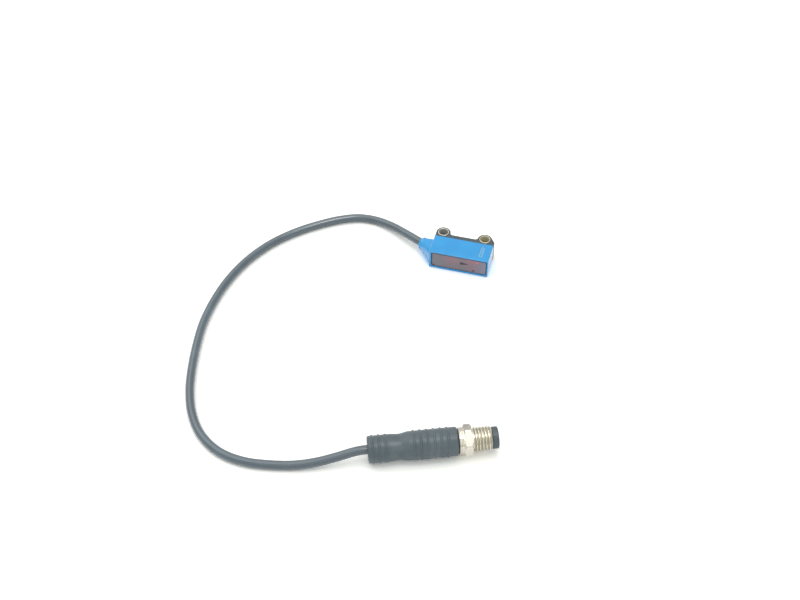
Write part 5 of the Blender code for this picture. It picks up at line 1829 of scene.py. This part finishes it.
    def screw_profile(self) -> list[Point2]:
        """Return the coupling screw's closed profile, before flats and thread are cut.

        Returns:
            Points of distance along X and radius.
        """
        grip, flats = self.ring_diameter / 2, self.hexagon_flats / 2
        corners, thread = self.hexagon_corners / 2, self.thread_diameter / 2
        bore, neck = self.shaft_diameter / 2 + self.run, thread - self.undercut_depth
        cone = (corners - flats) * tan(self.hexagon_chamfer)
        back, front = self.hexagon_back, self.hexagon_front
        profile = [(self.screw_back, bore), (self.screw_back, grip - self.ring_chamfer),
                   (self.screw_back + self.ring_chamfer, grip), (back, grip), (back, flats),
                   (back + cone, corners), (front - cone, corners), (front, flats),
                   (front, neck), (front + self.undercut_length, neck),
                   (front + self.undercut_length + self.undercut_slope, thread),
                   (self.thread_front - self.thread_chamfer, thread),
                   (self.thread_front, thread - self.thread_chamfer), (self.thread_front, bore)]
        for start, end in ((self.screw_back, back + cone), (front - cone, front),
                           (front, self.thread_front)):
            profile = refined(profile, self.screw_pitch, start, end)
        return profile

    def build_screw(self) -> None:
        """Cut the coupling screw's grooves, flats and thread, on its own body."""
        blank = turned("screw", self.screw_profile(), even_angles(240, self.hexagon_turn),
                       around=True)
        obj = scratch(blank)
        metal = self.metal("nickel_on_brass_turned")
        material = metal.material()
        bore = self.shaft_diameter / 2 + 1.5 * self.run
        groove_span = self.ring_groove_pitch * (self.ring_grooves - 1)
        run_tree(obj, ribs_tree(), {
            "First": self.screw_back + (self.ring_length - groove_span) / 2,
            "Pitch": self.ring_groove_pitch, "Count": float(self.ring_grooves),
            "Width": self.ring_groove_width, "Height": -self.ring_groove_depth,
            "Blend": self.ring_groove_blend, "Bore": bore, "Stain": 2.0, "Material": material})
        run_tree(obj, hexagon_tree(), {
            "Start": self.hexagon_back - self.hexagon_margin,
            "End": self.hexagon_front + self.hexagon_margin,
            "Flats": self.hexagon_flats, "Turn": self.hexagon_turn, "Bore": bore,
            "Material": material})
        run_tree(obj, thread_tree(), {
            "Start": self.hexagon_front + self.undercut_length, "Pitch": self.thread_pitch,
            "Crest": self.thread_diameter / 2, "Depth": self.thread_depth, "Bore": bore,
            "Stain": 1.0, "Material": material})
        add_piece("threaded_screw", solid(obj, 24.0), self.place, metal,
                  ["coupling_screw"], Body.SCREW)


def dress_cores(ending: str) -> None:
    """Give the four packed cores of one end their insulation's colours.

    Args:
        ending: What their names end in.
    """
    for name, colour in CORE_COLOURS.items():
        dress_node(name + ending, plain(f"{name}_pvc_extruded", colour, 0.4))


@dataclass
class Cable:
    """The cable: it leaves the spout, lies over the floor in one loose bow and enters the plug.

    The route's points are (X, Y, lift above lying) in the head frame.
    """

    diameter: float = 3.0
    inner_end: float = 1.5
    guided_out: float = 2.0
    guided_in: Point2 = (-2.5, 4.0)
    table_gap: float = 0.02
    pitch: float = 1.6
    route: tuple[tuple[float, float, float], ...] = (
        (-11.2, 11.3, 1.9), (-18.4, 15.5, 0.7), (-25.3, 17.7, 0.0), (-31.5, 17.3, 0.0),
        (-37.8, 14.6, 0.0), (-44.8, 9.8, 0.0), (-52.1, 3.3, 0.0), (-58.7, -4.9, 0.0),
        (-63.8, -15.0, 0.0), (-67.0, -26.5, 0.0), (-68.2, -38.5, 0.0), (-67.9, -49.0, 0.0),
        (-66.2, -59.3, 0.0), (-63.9, -69.0, 0.0), (-60.9, -78.4, 0.0), (-56.6, -87.2, 0.0),
        (-50.4, -94.8, 0.0), (-42.2, -99.7, 0.0), (-33.4, -101.1, 0.0), (-25.6, -100.2, 0.0),
        (-18.4, -98.5, 0.1), (-11.6, -96.0, 0.8), (-5.9, -93.2, 1.8))

    def centreline(self, head: SensorHead, plug: RoundPlug) -> list[Vector]:
        """Return the cable's points in the part frame, in metres.

        Args:
            head: The head that it leaves.
            plug: The plug that it enters.

        Returns:
            Evenly spaced points on a smooth curve through the route.
        """
        lying = self.diameter / 2 + self.table_gap
        first = [head.place @ head.spout_point(distance)
                 for distance in (-self.inner_end, self.guided_out, head.spout_reach)]
        middle = [head.place @ Vector((x, y, lying + lift)) for x, y, lift in self.route]
        last = [plug.point(along) for along in (*self.guided_in, plug.cable_depth)]
        return smooth_line(first + middle + last, self.pitch * MM)

    def build(self, head: SensorHead, plug: RoundPlug) -> tuple[bpy.types.Object, float]:
        """Build the cable as one round curve.

        Args:
            head: The head that it leaves.
            plug: The plug that it enters.

        Returns:
            The cable and its length in metres.
        """
        points = self.centreline(head, plug)
        curve = bpy.data.curves.new("cable_jacket", "CURVE")
        curve.dimensions = "3D"
        curve.bevel_depth = self.diameter / 2 * MM
        curve.bevel_resolution = 7
        curve.use_fill_caps = True
        spline = curve.splines.new("POLY")
        spline.points.add(len(points) - 1)
        for target, point in zip(spline.points, points):
            target.co = (*point, 1.0)
        spline.use_smooth = True
        curve.materials.append(JACKET_GREY.material())
        cable = bpy.data.objects.new("cable_jacket", curve)
        bpy.context.scene.collection.objects.link(cable)
        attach(cable, Body.SENSOR.value)
        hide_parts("cable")
        length = sum((b - a).length for a, b in zip(points, points[1:]))
        LOG.info("cable_jacket: %.1f mm long", length / MM)
        return cable, length


def smooth_line(points: Sequence[Vector], pitch: float) -> list[Vector]:
    """Return evenly spaced points on a smooth curve through the given ones.

    Args:
        points: The points that the curve passes.
        pitch: Longest distance between two of the new points.

    Returns:
        The new points. The curve is a cubic whose slope at each point weighs both stretches.
    """
    samples = 24
    nodes = np.array([tuple(point) for point in points], dtype=float)
    stretches = np.linalg.norm(np.diff(nodes, axis=0), axis=1)
    chords = np.diff(nodes, axis=0) / stretches[:, None]
    slopes = np.empty_like(nodes)
    slopes[0], slopes[-1] = chords[0], chords[-1]
    before, after = stretches[:-1, None], stretches[1:, None]
    slopes[1:-1] = (chords[:-1] * after + chords[1:] * before) / (before + after)
    dense = []
    for start, end, first, last, length in zip(nodes, nodes[1:], slopes, slopes[1:], stretches):
        for t in np.linspace(0.0, 1.0, samples, endpoint=False):
            dense.append((2 * t ** 3 - 3 * t ** 2 + 1) * start + (3 * t ** 2 - 2 * t ** 3) * end
                         + (t ** 3 - 2 * t ** 2 + t) * length * first
                         + (t ** 3 - t ** 2) * length * last)
    line = np.array([*dense, nodes[-1]])
    travelled = np.append(0.0, np.cumsum(np.linalg.norm(np.diff(line, axis=0), axis=1)))
    wanted = np.linspace(0.0, travelled[-1], ceil(travelled[-1] / pitch) + 1)
    return [Vector([np.interp(w, travelled, line[:, axis]) for axis in range(3)]) for w in wanted]


def main() -> None:
    """Build the camera and the cord, then every piece."""
    logging.basicConfig(level=logging.INFO, format="%(name)s: %(message)s")
    bpy.context.scene.view_settings.view_transform = "Standard"
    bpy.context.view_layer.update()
    studio = Studio()
    studio.build_camera()
    head, plug = SensorHead(), RoundPlug()
    cable, length = Cable().build(head, plug)

    studio.build_floor()
    studio.build_light()
    head.build_shell()
    head.build_window()
    head.build_cover()
    head.build_bushings()
    head.build_guide()
    head.dress_inside()
    dress_cores("_core")
    plug.build_moulding()
    plug.build_carrier()
    plug.build_pins()
    plug.build_screw()
    dress_cores("_plug_core")

    on_cord = ["plug_moulding", "contact_insert", "contact_pins", "threaded_screw"]
    on_cord += [f"{name}_plug_core" for name in CORE_COLOURS]
    tuple(head.place @ head.spout_point(head.spout_reach))
    LOG.info("sizes written")


if __name__ == "__main__":
    main()
